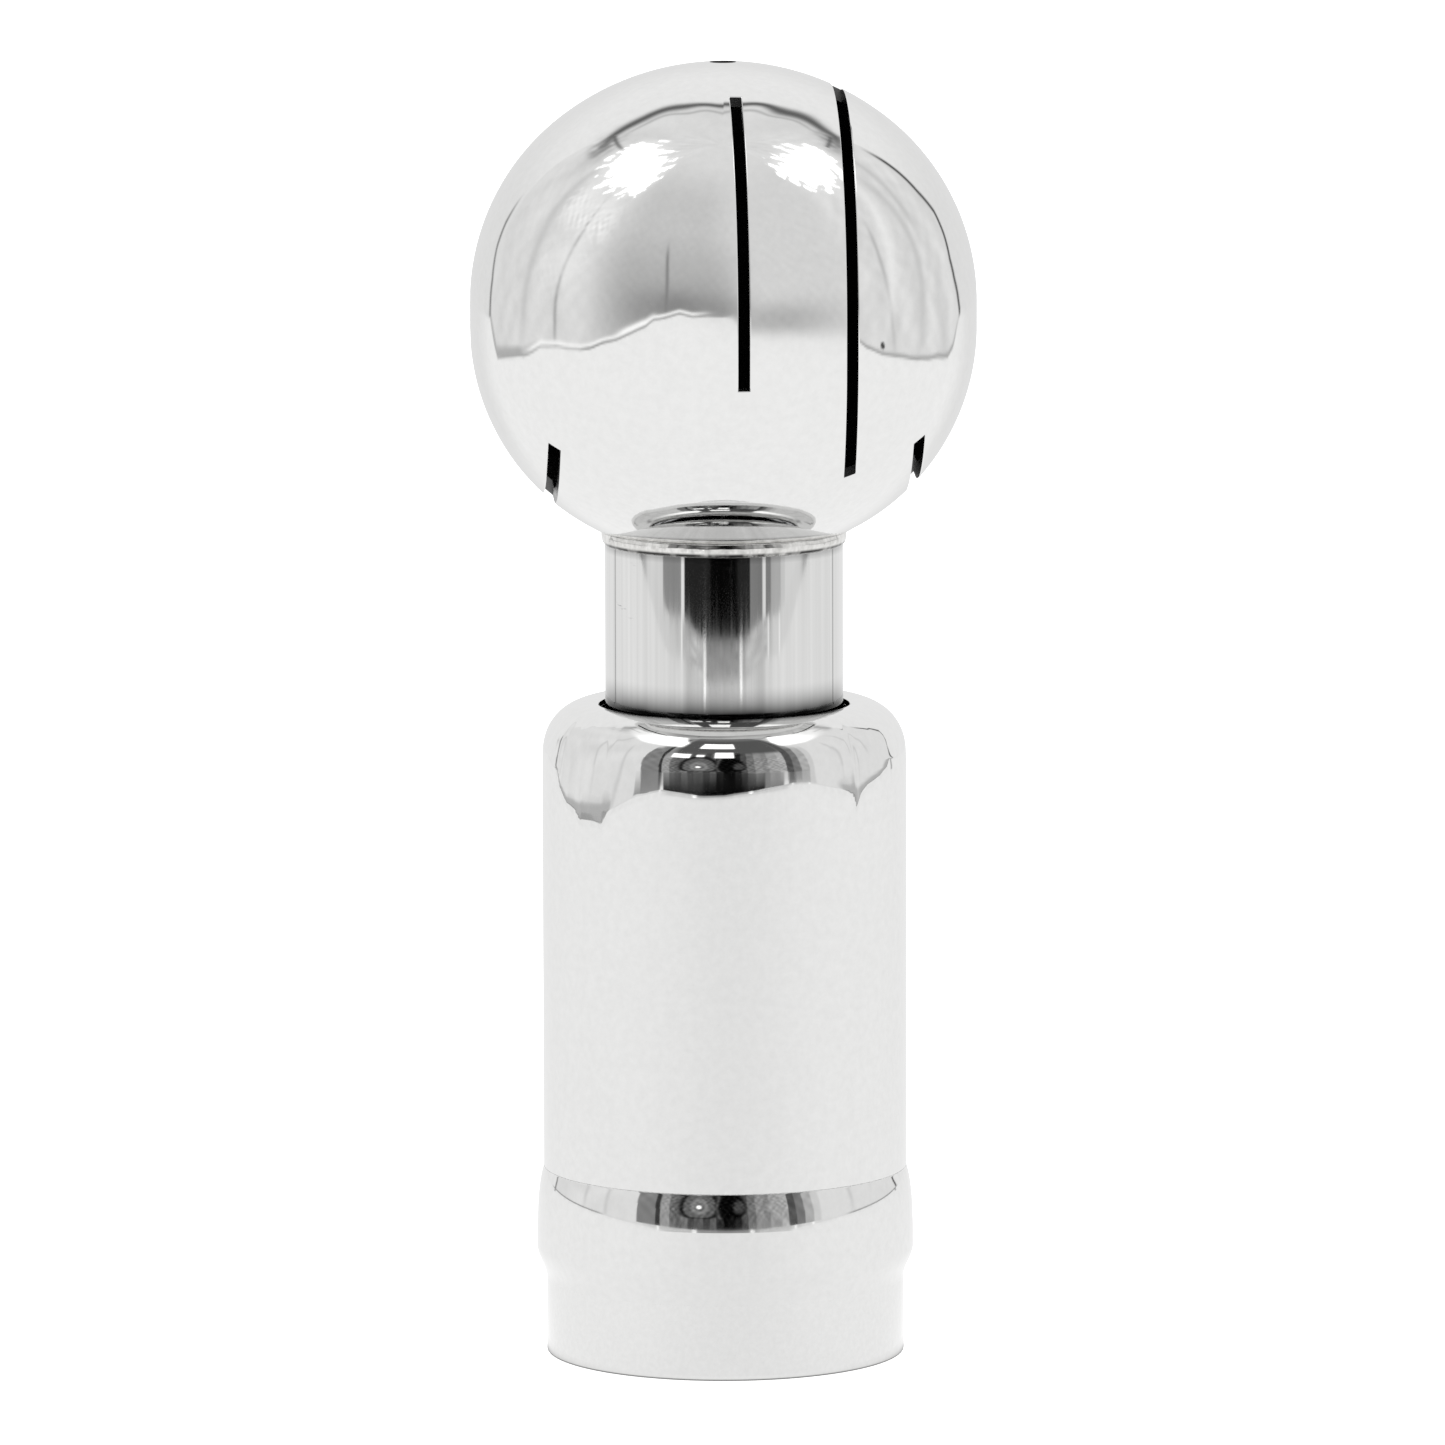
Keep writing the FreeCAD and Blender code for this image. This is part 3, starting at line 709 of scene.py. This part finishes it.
def connector():
    """The connector with its right-hand pipe thread cut as one helix."""
    mouth, flange, stack, top, relief, stop = 16.9, 19.2, 22.22, 26.0, 21.0, 14.0
    thread_foot, thread_top = 1.7545, 18.3
    outside = [(mouth, 0.0, 0.12), (CONNECTOR_R, 0.0, 0.3), (CONNECTOR_R, flange, 0.5), (stack, flange, 0.1),
               (stack, top, 0.15), (stop, top, 0.2), (stop, relief, 0.1), (mouth, relief, 0.2),
               (mouth, thread_top + 0.25, 0.15)]
    bore = [(THREAD_CREST, z) for z in np.arange(thread_top, thread_foot, -0.13)]
    ring = eased(outside + bore, step=1.0)

    def shift(a, r, z):
        phase = (z / THREAD_PITCH - a / TAU) % 1.0
        ridge = np.abs(phase - 0.5) * 2
        depth = np.clip((ridge - 1 / 6) / (2 / 3), 0, 1)
        depth = depth * depth * (3 - 2 * depth) * 0.35 + depth * 0.65
        fade = np.clip((z - thread_foot + 0.3) / 0.9, 0, 1) * np.clip((thread_top + 0.3 - z) / 0.9, 0, 1)
        return (THREAD_ROOT - THREAD_CREST) * depth * fade * (r < THREAD_CREST + 0.02)
    obj = revolve("threaded_connector_body", ring, turned_polish, 360, shift)
    obj.data.materials.append(thread_steel)
    middles = np.zeros(len(obj.data.polygons) * 3)
    obj.data.polygons.foreach_get("center", middles)
    middles = middles.reshape(-1, 3)
    inside = np.hypot(middles[:, 0], middles[:, 1]) < mouth * MM
    obj.data.polygons.foreach_set("material_index", inside.astype(int).tolist())
    return obj


place(connector(), "housing", "turned_polished_steel", "threaded_connector")

# The pieces inside the housing keep the CAD's own meshes
for material, names in ((bearing_steel, ("upper_cone", "lower_cone", "upper_bearing_balls",
                                         "lower_bearing_balls", "upper_cup", "lower_cup")),
                        (turned_steel, ("cone_spacer", "thrust_washer", "cup_spacer", "support_ring")),
                        (spring_steel, ("rotor_circlip", "preload_shim"))):
    for name in names:
        mesh = nodes[name].data
        mesh.materials.clear()
        mesh.materials.append(material)
        mesh.shade_smooth()
        mesh.set_sharp_from_angle(angle=math.radians(35))


# ---------------------------------------------------------------- studio

# The studio is in metres. Directions are degrees round from the front and up, and tones display values.
CAMERA_TILT = 8.05


def radiance(tone):
    """The brightness that polished steel shows as a display tone."""
    tone = np.asarray(tone, float)
    return np.where(tone < 0.04, tone / 12.92, ((tone + 0.055) / 1.055) ** 2.4) / POLISH[0]


def glancing(az, el):
    """Dims what the outline mirrors, because metal reflects more at glancing angles."""
    a, e, tip = np.radians(az), np.radians(el), math.radians(-CAMERA_TILT)
    towards = -np.cos(a) * np.cos(e) * math.cos(tip) + np.sin(e) * math.sin(tip)
    cosine = np.sin(np.arccos(np.clip(towards, -1, 1)) / 2)
    return POLISH[0] / (POLISH[0] + (1 - POLISH[0]) * (1 - cosine) ** 5)


def window(value, low, high, soft=1.0):
    """1 between two edges and 0 beyond them."""
    return step(value, low, soft) * (1 - step(value, high, soft))


def hump(value, middle, width):
    """A smooth bump of height 1."""
    return np.exp(-((value - middle) / width) ** 2)


def field(az, el, seed, count, low, high):
    """Smooth random variation over directions, from -1 to 1."""
    rng = np.random.default_rng(seed)
    total = np.zeros_like(az)
    for _ in range(count):
        total += np.sin(rng.uniform(low, high) * np.radians(az) * rng.choice([-1, 1])
                        + rng.uniform(low, high) * np.radians(el) + rng.uniform(0, TAU))
    return total / math.sqrt(count * 2)


def backdrop_top(side):
    """How high the backdrop behind the camera reaches."""
    return 50 + 13 * np.clip((side - 132) / 48, 0, 1) ** 0.8


def backdrop(side, el):
    return step(side, 131, 0.4) * (1 - step(el, backdrop_top(side), 0.8))


def room_edges(tone, az, el, arc_tone):
    """The backdrop's dark outline, which both parts of the object see."""
    side = np.abs(az)
    left = np.interp(el, [-9, -5, 1, 7, 12, 30], [-127.4, -131.3, -130.9, -133.7, -134.4, -133])
    right = np.interp(el, [-5, 1, 5, 10, 15, 22, 50], [135, 130.9, 130.2, 132.3, 133.4, 130.9, 128])
    tone = blend(tone, 0.24, hump(az, right, 0.9) * window(el, -12, 38, 5))
    tone = blend(tone, 0.48, hump(az, left, 0.9) * window(el, -12, 16, 5))
    drift = el - backdrop_top(side) - 1.2 * field(az, el, 5, 6, 6, 20)
    width = 1.6 + 1.3 * hump(side, 146, 12)
    tone = blend(tone, arc_tone, hump(drift, 0, width) * step(side, 124, 8))
    tone = blend(tone, arc_tone + 0.25, hump(drift, 5.5, 1.0) * step(side, 132, 10) * 0.6)
    smudge = 0.8 + 0.5 * field(az, el, 14, 12, 20, 80)
    for middle, height, wide, tall in ((-124, 49, 8, 4.5), (126, 52.5, 10, 3.5)):
        spot = hump(az, middle, wide) * hump(el, height, tall)
        tone = blend(tone, arc_tone + 0.13, np.clip(spot * smudge, 0, 1) * 0.9)
    for start, end, low, high in ((-132, -114, 51, 57), (130, 117, 52, 55.5)):
        along = np.clip((az - start) / (end - start), 0, 1)
        line = hump(el, blend(low, high, along), 0.7) * window(along, 0.02, 0.98, 0.02)
        tone = blend(tone, arc_tone, 0.8 * line)
    return tone


def ball_horizon(az):
    """Where the white table ends, as seen from the ball."""
    turn = [-135, -131, -127, -124.6, -112, -102, -94, -90, -80, -67, -61.6, -56, -49, -42, -35, -31.5,
            -28, -19.6, -14, -7, 4, 9, 13, 58, 67, 75.6, 84, 98, 112, 123, 127.4, 131, 135]
    rise = [-5, -5, -9.2, -11.7, -11.7, -12, -10.6, -9.8, -9.6, -10.2, -9.5, -8.2, -6.7, -4.7, -2.2, 0.2,
            0.9, 2.7, 2.0, 2.4, 2.0, -1, -3.5, -5, -9.9, -11.6, -12.4, -13.1, -12.4, -11.7, -9.9, -7.1, -5]
    return np.interp(az, turn, rise)


def lamp_cloud(az, el, outline_az, outline_low, outline_high, seed):
    """A lamp seen through a crumpled diffuser, ragged where it ends, and its halo."""
    low = np.interp(az, outline_az, outline_low)
    high = np.interp(az, outline_az, outline_high)
    inward = np.minimum(el - low, high - el)
    ragged = field(az, el, seed, 24, 12, 50) + 0.5 * field(az, el, seed + 1, 40, 50, 120)
    lit = step(inward + 5.5 * ragged * np.exp(-np.clip(inward, 0, None) / 6), 0.8, 0.5)
    lit = lit * step(inward, -4.5, 2.5)
    return lit, np.exp(-np.clip(-inward, 0, None) / 4)


def ball_surroundings(az, el):
    """The pale room that the ball mirrors."""
    side = np.abs(az)
    tone = 0.855 + 0.014 * field(az, el, 1, 12, 4, 14)

    # Paper screens at both sides, with soft folds
    crease = field(az + 2.5 * np.sin(np.radians(el) * 5), 0.10 * el, 21, 10, 9, 26)
    folds = crease * window(side, 62, 131, 6) * window(el, -14, 56, 8)
    tone = tone + 0.020 * folds + 0.014 * field(az, el, 23, 14, 14, 50) * window(side, 60, 128, 6)
    tone = blend(tone, 0.855, step(el, 62, 8) * (side < 62))

    # The dimmer far end of the room
    tone = blend(tone, 0.83, window(az, -62, 60, 12) * (1 - step(el, 72, 10)))
    tone = blend(tone, 0.77, window(az, -55, -2, 12) * window(el, -12, 64, 12))
    tone = blend(tone, 0.70, window(az, -54, 4, 14) * window(el, -12, 30, 14))
    patch = np.exp(-((az + 20) / 26) ** 4) * hump(el, 4, 9)
    tone = blend(tone, 0.56, 0.85 * patch)
    for middle, height, wide, tall, level, share in ((-20, 6, 9, 5, 0.50, 0.6), (-1, 4, 8, 4, 0.52, 0.6),
                                                     (26, 1, 26, 6, 0.70, 1.0)):
        tone = blend(tone, level, hump(az, middle, wide) * hump(el, height, tall) * share)
    grain = 0.006 * field(az, el, 24, 24, 20, 90)
    tone = tone + grain * window(az, -62, 60, 8) * (1 - step(el, 55, 12))

    # Upright creases, and brighter patches between them
    for middle, low, high, level, wide in ((-80, -8, 42, 0.66, 1.0), (-103, -6, 52, 0.79, 2.5),
                                           (-27.5, 1, 31, 0.52, 0.8), (82, -8, 30, 0.74, 1.2),
                                           (103, -6, 44, 0.79, 2.5), (113, 20, 50, 0.79, 2)):
        bend = 1.8 * np.sin(np.radians(el) * 5 + middle)
        tone = blend(tone, level, hump(az + bend, middle, wide) * window(el, low, high, 6))
    speck = field(az, el, 11, 30, 30, 110)
    glow = window(az + 2.5 * speck, -98, -63, 4) * window(el + 2 * speck, 29, 45, 5)
    tone = blend(tone, 0.975, glow * (0.55 + 0.3 * speck))
    glow = window(az + 2 * speck, -92, -70, 6) * window(el + 2 * speck, 8, 26, 8)
    tone = blend(tone, 0.93, glow * 0.6)
    glow = hump(az - 0.35 * (el - 20), 88, 3.5) * window(el, -4, 44, 10)
    tone = blend(tone, 0.95, glow * 0.6)

    # The backdrop behind the camera, and the two lamps
    tone = blend(tone, 0.865 + 0.045 * step(el, 25, 15), backdrop(side, el))
    tone = room_edges(tone, az, el, 0.37)
    left, halo = lamp_cloud(az, el, [-128, -118, -115, -104, -90, -72, -63, -59, -50],
                            [85, 62, 57, 51, 48.5, 49.5, 54, 61, 85],
                            [40, 64, 67, 69.5, 71, 71, 67, 62, 40], 40)
    right, other = lamp_cloud(az, el, [46, 56, 61, 72, 86, 104, 111, 114, 124],
                              [85, 65, 61, 52, 49, 51, 56, 62, 85],
                              [40, 66, 69, 71, 71, 70, 66, 62, 40], 44)
    halo = 0.6 * np.maximum(halo, other)
    tone = blend(tone, 0.93, halo * window(side, 58, 124, 3) * window(el, 34, 74, 3))
    tone = blend(tone, 1.25, np.maximum(left, right))

    # The table's far edge, with a shadow line, a bright hem and one dark knob, and the table below it
    horizon = ball_horizon(az) + 0.25 * field(az, 0 * el, 6, 6, 10, 30)
    near = el - horizon
    tone = blend(tone, 0.62, hump(near, 0.5, 0.6) * window(side, 62, 131, 5) * (0.6 + 0.3 * (az > 0)))
    tone = blend(tone, 0.66, window(az, -128, -93, 4) * window(near, -1, 2.2, 0.8) * 0.8)
    tone = blend(tone, 0.97, hump(near, 1.3, 0.7) * window(az, -100, -8, 6))
    tone = blend(tone, 1.0, hump(near, 1.8, 1.2) * window(az, -48, -32, 4))
    tone = blend(tone, 0.60, hump(near, 0.2, 0.6) * window(az, -66, -32, 4))
    tone = blend(tone, 0.22, 1 - step(np.hypot(az - 76, (near - 2.6) * 1.3), 1.2, 0.3))
    table = 0.93 - 0.06 * step(side, 138, 12) * step(el, -30, 12)
    table = table - 0.05 * window(az, -10, 60, 8) * np.exp(-np.clip(horizon - el, 0, None) / 3)
    return blend(tone, table, 1 - step(el, horizon, 0.4 + 2.6 * window(az, 4, 60, 4)))


def body_surroundings(az, el):
    """The darker room that the housing, the neck and the connector mirror."""
    side = np.abs(az)
    tone = 0.865 + 0.015 * field(az, el, 2, 12, 4, 16)

    # Upright bands of the far end, each from its left edge on
    levels = ((-56, 0.50), (-43.5, 0.22), (-40.5, 0.60), (-34.5, 0.42), (-31, 0.38), (-27, 0.46), (-23, 0.34),
              (-19, 0.43), (-13.5, 0.28), (-9.5, 0.38), (-5.5, 0.16), (-1, 0.06), (6, 0.14), (10, 0.30),
              (14, 0.44), (19, 0.56), (24, 0.52), (28, 0.62), (35, 0.68), (39.5, 0.32), (44.5, 0.46),
              (50, 0.68), (56, 0.80))
    bent = az + 0.5 * np.sin(np.radians(el) * 6)
    for edge, level in levels:
        tone = np.where(bent > edge, blend(tone, level, step(bent, edge, 0.5)), tone)
    tone = np.where(az > 60, blend(tone, 0.865, step(az, 61, 1.0)), tone)
    tone = tone + 0.03 * field(az, el, 9, 14, 12, 40) * window(side, -1, 56, 2)

    # A round lens with its ring and spark, and a black disc beside it, drawn out upwards
    drop = 25 * (np.interp(el, [1.4, 1.7, 2.5, 4, 6.8, 11, 17, 25, 35, 47],
                           [1, 0.9, 0.79, 0.7, 0.59, 0.45, 0.31, 0.13, -0.1, -0.3]) - 0.48)
    lens = np.hypot(az + 16, drop)
    tone = blend(tone, 0.12, hump(lens, 11.3, 1.6) * (az < -4))
    tone = blend(tone, 0.38, (1 - step(lens, 9.5, 1.0)) * 0.9)
    tone = blend(tone, 0.56, hump(lens, 4.2, 1.5) * 0.8)
    tone = blend(tone, 1.1, 1 - step(np.hypot(az + 16.3, drop * 1.2), 1.7, 0.6))
    tone = blend(tone, 0.03, (1 - step(np.hypot(az - 3.5, drop * 0.9), 9, 1.5)) * 0.95)
    tone = blend(tone, 0.33, (1 - step(np.hypot(az - 8.5, drop * 0.8), 3.6, 1.4)) * 0.8)
    tone = blend(tone, 0.36, hump(az, 0.25 * np.abs(drop) - 5.5, 1.2) * 0.8 * (np.abs(drop) < 12))
    tone = blend(tone, 0.63, (1 - step(np.hypot(az - 32, (el - 9) * 1.15), 6.4, 0.8)) * 0.9)
    fleck = field(az, el, 27, 30, 30, 120) * window(side, -1, 40, 3) * window(el, -2, 26, 4)
    tone = np.clip(tone + 0.06 * fleck, 0.01, 2)

    # What lies beyond the table's edge
    beyond = 1 - step(el, -4.5, 1.5)
    tone = blend(tone, 0.14, beyond * window(az, -38.5, 25, 0.8))
    tone = blend(tone, 0.02, beyond * window(az, -13, 12, 3))
    for low, high, level in ((-61, -42, 0.56), (-42, -38.5, 0.93), (25.5, 37.5, 0.50), (37.5, 41, 0.90),
                             (41, 46, 0.52), (46, 56, 0.70)):
        tone = blend(tone, level, beyond * window(az, low, high, 0.8))
    tone = blend(tone, 0.69, (1 - step(el, -2.6, 0.8)) * window(side, 80, 130, 4))

    # The ceiling and its lamps, and the creases of the side screens
    tone = blend(tone, 0.33, step(el, 38, 4) * window(az, -36, 42, 5) * (1 - step(side, 60, 2)))
    tone = blend(tone, 0.86, step(el, 44, 5) * step(side, 50, 6) * (side < 70))
    tone = blend(tone, 0.62 - 0.17 * window(az, -40, 42, 5), window(el, 70, 95, 4))
    for low, high, foot, top in ((-20, 8, 50, 62), (-7, 6, 28, 41), (-36, -23, 27, 36), (-19, -14, 30, 35)):
        tone = blend(tone, 1.2, window(az, low, high, 0.8) * window(el, foot, top, 0.8))
    for middle, low, high in ((-79, -6, 36), (-97, 0, 50), (85, 0, 40), (104, 10, 45)):
        tone = blend(tone, 0.80, hump(az, middle, 1.5) * window(el, low, high, 6))

    # The backdrop, and the bright arched tops of the screens
    tone = blend(tone, 0.90, backdrop(side, el))
    tone = room_edges(tone, az, el, 0.62)
    for low, high in ((-128, -35), (48, 128)):
        crown = 77 - 15 * ((az - (low + high) / 2) / (high - low) * 2) ** 2
        fade = 1 - 0.75 * step(side, 92, 22)
        tone = blend(tone, 1.2, fade * window(az, low, high, 3) * step(el, 51, 3) * (1 - step(el, crown, 2)))
    return tone


def only_mirrored(obj, receivers):
    """A light that only polished surfaces see, and only those of the receivers."""
    for ray in ("camera", "diffuse", "shadow", "transmission", "volume_scatter"):
        setattr(obj, "visible_" + ray, False)
    obj.light_linking.receiver_collection = receivers


def glow_material(name, see_through):
    """Emission from the mesh's own brightness; see-through glow lets what lies behind show as well."""
    n = Nodes(name)
    level = n.add("ShaderNodeAttribute", attribute_name="brightness").outputs["Fac"]
    surface = n.add("ShaderNodeEmission", {"Color": (1, 1, 1, 1), "Strength": level}).outputs[0]
    if see_through:
        clear = n.add("ShaderNodeBsdfTransparent").outputs[0]
        surface = n.add("ShaderNodeAddShader", {0: surface, 1: clear}).outputs[0]
    n.add("ShaderNodeOutputMaterial", {"Surface": surface})
    n.material.cycles.emission_sampling = "NONE"
    return n.material


def glowing_mesh(name, points, faces, brightness, receivers, see_through=False):
    """A mesh in metres that glows with its own brightness at each point."""
    mesh = bpy.data.meshes.new(name)
    mesh.from_pydata(points.tolist(), [], faces)
    mesh.materials.append(glow_material(name + "_light", see_through))
    level = mesh.attributes.new("brightness", "FLOAT", "POINT")
    level.data.foreach_set("value", np.asarray(brightness, np.float32).ravel())
    only_mirrored(linked(name, mesh), receivers)


def polar_grid(azimuths, others):
    """Azimuths and a second measure on a grid that closes round, and the grid's faces."""
    az, other = np.meshgrid(azimuths, others)
    index = np.arange(az.size).reshape(az.shape)
    side = np.roll(index, -1, 1)
    faces = np.stack([index[:-1], side[:-1], side[1:], index[1:]], -1).reshape(-1, 4).tolist()
    return az, other, faces


def surroundings(name, radius, centre_z, tone_of, receivers, floor_z=None):
    """A dome whose brightness depends on the direction from its centre, flattened below at floor_z."""
    spacing = 0.6
    az, el, faces = polar_grid(np.arange(-180, 180, spacing), np.arange(-90, 90.01, spacing))
    a, e = np.radians(az), np.radians(el)
    points = radius * np.stack([np.sin(a) * np.cos(e), -np.cos(a) * np.cos(e), np.sin(e)], -1)
    if floor_z is not None:
        below = points[..., 2] < floor_z - centre_z
        points[below] *= ((floor_z - centre_z) / points[below][:, 2])[:, None]
    points[..., 2] += centre_z
    brightness = radiance(tone_of(az, el)) * glancing(az, el)
    glowing_mesh(name, points.reshape(-1, 3), faces, brightness, receivers, floor_z is not None)


def table_mesh(name, az, reach, height, faces, tone, receivers):
    """A part of the table, from polar places and heights."""
    a = np.radians(az)
    points = np.stack([reach * np.sin(a), -reach * np.cos(a), 0 * a + height], -1).reshape(-1, 3)
    glowing_mesh(name, points, faces, radiance(tone) * glancing(az, -CAMERA_TILT), receivers)


def ring_azimuths(count):
    return np.linspace(-180, 180, count, endpoint=False)


def table_edge(az):
    """How far the table reaches in each direction."""
    side = np.abs(az)
    return 0.665 + 0.030 * step(side, 30, 14) + 0.16 * step(side, 75, 25)


TABLE_Z = -0.0004
GLEAMS = (-18.4, 16.2)


def table_top(receivers):
    """The white table, which the housing and the neck mirror, dimmer and streaked towards its edge."""
    shares = np.concatenate([np.linspace(0.0, 0.8, 30), np.linspace(0.805, 1, 90)])
    az, share, faces = polar_grid(ring_azimuths(720), shares)
    reach = 0.02 + share * (table_edge(az) - 0.02)
    tone = 0.915 - 0.030 * hump(az, 4, 40) - 0.01 * step(np.abs(az), 125, 20)
    speck = field(az * 3, reach * 4000, 31, 16, 6, 22)
    streak = field(az, 0 * az, 37, 24, 20, 90)
    tone = tone - 0.011 * (1 + streak) * window(az, -127, 125, 3) * step(reach, 0.56, 0.03)
    tone = blend(tone, 0.80, window(az, -38, 40, 3) * step(reach, 0.60, 0.03) * (1 - np.abs(streak) * 0.3))
    tone = blend(tone, 0.62, hump(np.abs(az), 130, 1.0) * step(reach, 0.56, 0.02))
    for middle, near in zip(GLEAMS, (0.630, 0.642)):
        wander = middle + 0.4 * field(0 * az, reach * 1500, 33, 8, 4, 20)
        gleam = hump(az, wander, 1.1) * window(reach, near, 0.70, 0.008)
        tone = blend(tone, 1.25, np.clip(gleam * (0.9 + 1.5 * speck), 0, 1))
    table_mesh("table_glow", az, reach, TABLE_Z, faces, tone, receivers)


def table_rim(receivers):
    """The upright far edge of the table's cloth, with two beaded gleams and three fine ones."""
    az, share, faces = polar_grid(ring_azimuths(720), np.linspace(0, 1, 48))
    side = np.abs(az)
    tone = 0.60 + 0.16 * window(side, 19, 44, 3) + 0.29 * step(side, 133, 3) + 0.25 * window(side, 44, 82, 5)
    tone = tone + 0.10 * field(az, 60 * share, 39, 12, 6, 24) * (1 - step(side, 40, 4))
    speck = field(az * 3, 400 * share, 31, 16, 6, 22)
    for middle in GLEAMS:
        wander = middle + 0.5 * field(0 * az, 150 * share, 33, 8, 4, 20)
        tone = blend(tone, 1.25, np.clip(hump(az, wander, 1.3) * (0.55 + 2.2 * speck), 0, 1))
    for middle in (-41, 43, 54.6):
        tone = blend(tone, 0.98, hump(az, middle, 0.8))
    table_mesh("table_rim_glow", az, table_edge(az), 0.0075 * share + TABLE_Z, faces, tone, receivers)


def contact_shade(receivers):
    """The dark line where the connector stands on the table."""
    az, reach, faces = polar_grid(ring_azimuths(180), np.linspace(0.0228, 0.0275, 40))
    tone = blend(0.905, 0.30, np.exp(-np.clip(reach - 0.0230, 0, None) / 0.0008))
    table_mesh("contact_shade", az, reach, -0.0003, faces, tone, receivers)


ball_parts = bpy.data.collections.new("sees_ball_side")
for obj in (upper, lower):
    ball_parts.objects.link(obj)
body_parts = bpy.data.collections.new("sees_body_side")
for obj in scene.objects:
    if obj.type == "MESH" and obj not in (upper, lower):
        body_parts.objects.link(obj)

# The ball's dome ends just above the table's rim, which only the other parts mirror
surroundings("ball_surroundings", 2.3, 0.134, ball_surroundings, ball_parts, floor_z=0.0085)
surroundings("body_surroundings", 2.6, 0.08, body_surroundings, body_parts)
for lay in (table_top, table_rim, contact_shade):
    lay(body_parts)

world = bpy.data.worlds.new("studio")
scene.world = world
world.use_nodes = True
world.node_tree.nodes["Background"].inputs["Color"].default_value = (1, 1, 1, 1)
world.node_tree.nodes["Background"].inputs["Strength"].default_value = 1.25
world.cycles_visibility.glossy = False

floor_mesh = bpy.data.meshes.new("floor")
floor_corners = [(4 * x, 4 * y, -0.0002) for x, y in ((-1, -1), (1, -1), (1, 1), (-1, 1))]
floor_mesh.from_pydata(floor_corners, [], [(0, 1, 2, 3)])
n = Nodes("pale_floor")
paint = n.add("ShaderNodeBsdfPrincipled", {"Base Color": (0.86, 0.86, 0.86, 1), "Roughness": 0.8,
                                           "Specular IOR Level": 0.0, "Emission Color": (1, 1, 1, 1),
                                           "Emission Strength": 0.75})
n.add("ShaderNodeOutputMaterial", {"Surface": paint.outputs[0]})
n.material.cycles.emission_sampling = "NONE"
floor_mesh.materials.append(n.material)
floor = linked("floor", floor_mesh)
floor.visible_glossy = False

# ---------------------------------------------------------------- camera

CAMERA_ELEVATION = math.radians(CAMERA_TILT)
CAMERA_DISTANCE = 1.65
CAMERA_ROLL = math.radians(0.12)
LOOKED_AT = 0.0818
camera = linked("camera", bpy.data.cameras.new("camera"))
camera.location = (0, -CAMERA_DISTANCE * math.cos(CAMERA_ELEVATION),
                   LOOKED_AT + CAMERA_DISTANCE * math.sin(CAMERA_ELEVATION))
camera.rotation_euler = (math.pi / 2 - CAMERA_ELEVATION, CAMERA_ROLL, 0)
camera.data.sensor_width = 36
camera.data.lens = 319.4
camera.data.shift_x = 0.0014
camera.data.clip_start = 0.05
camera.data.clip_end = 50
scene.camera = camera
scene.view_settings.view_transform = "Standard"
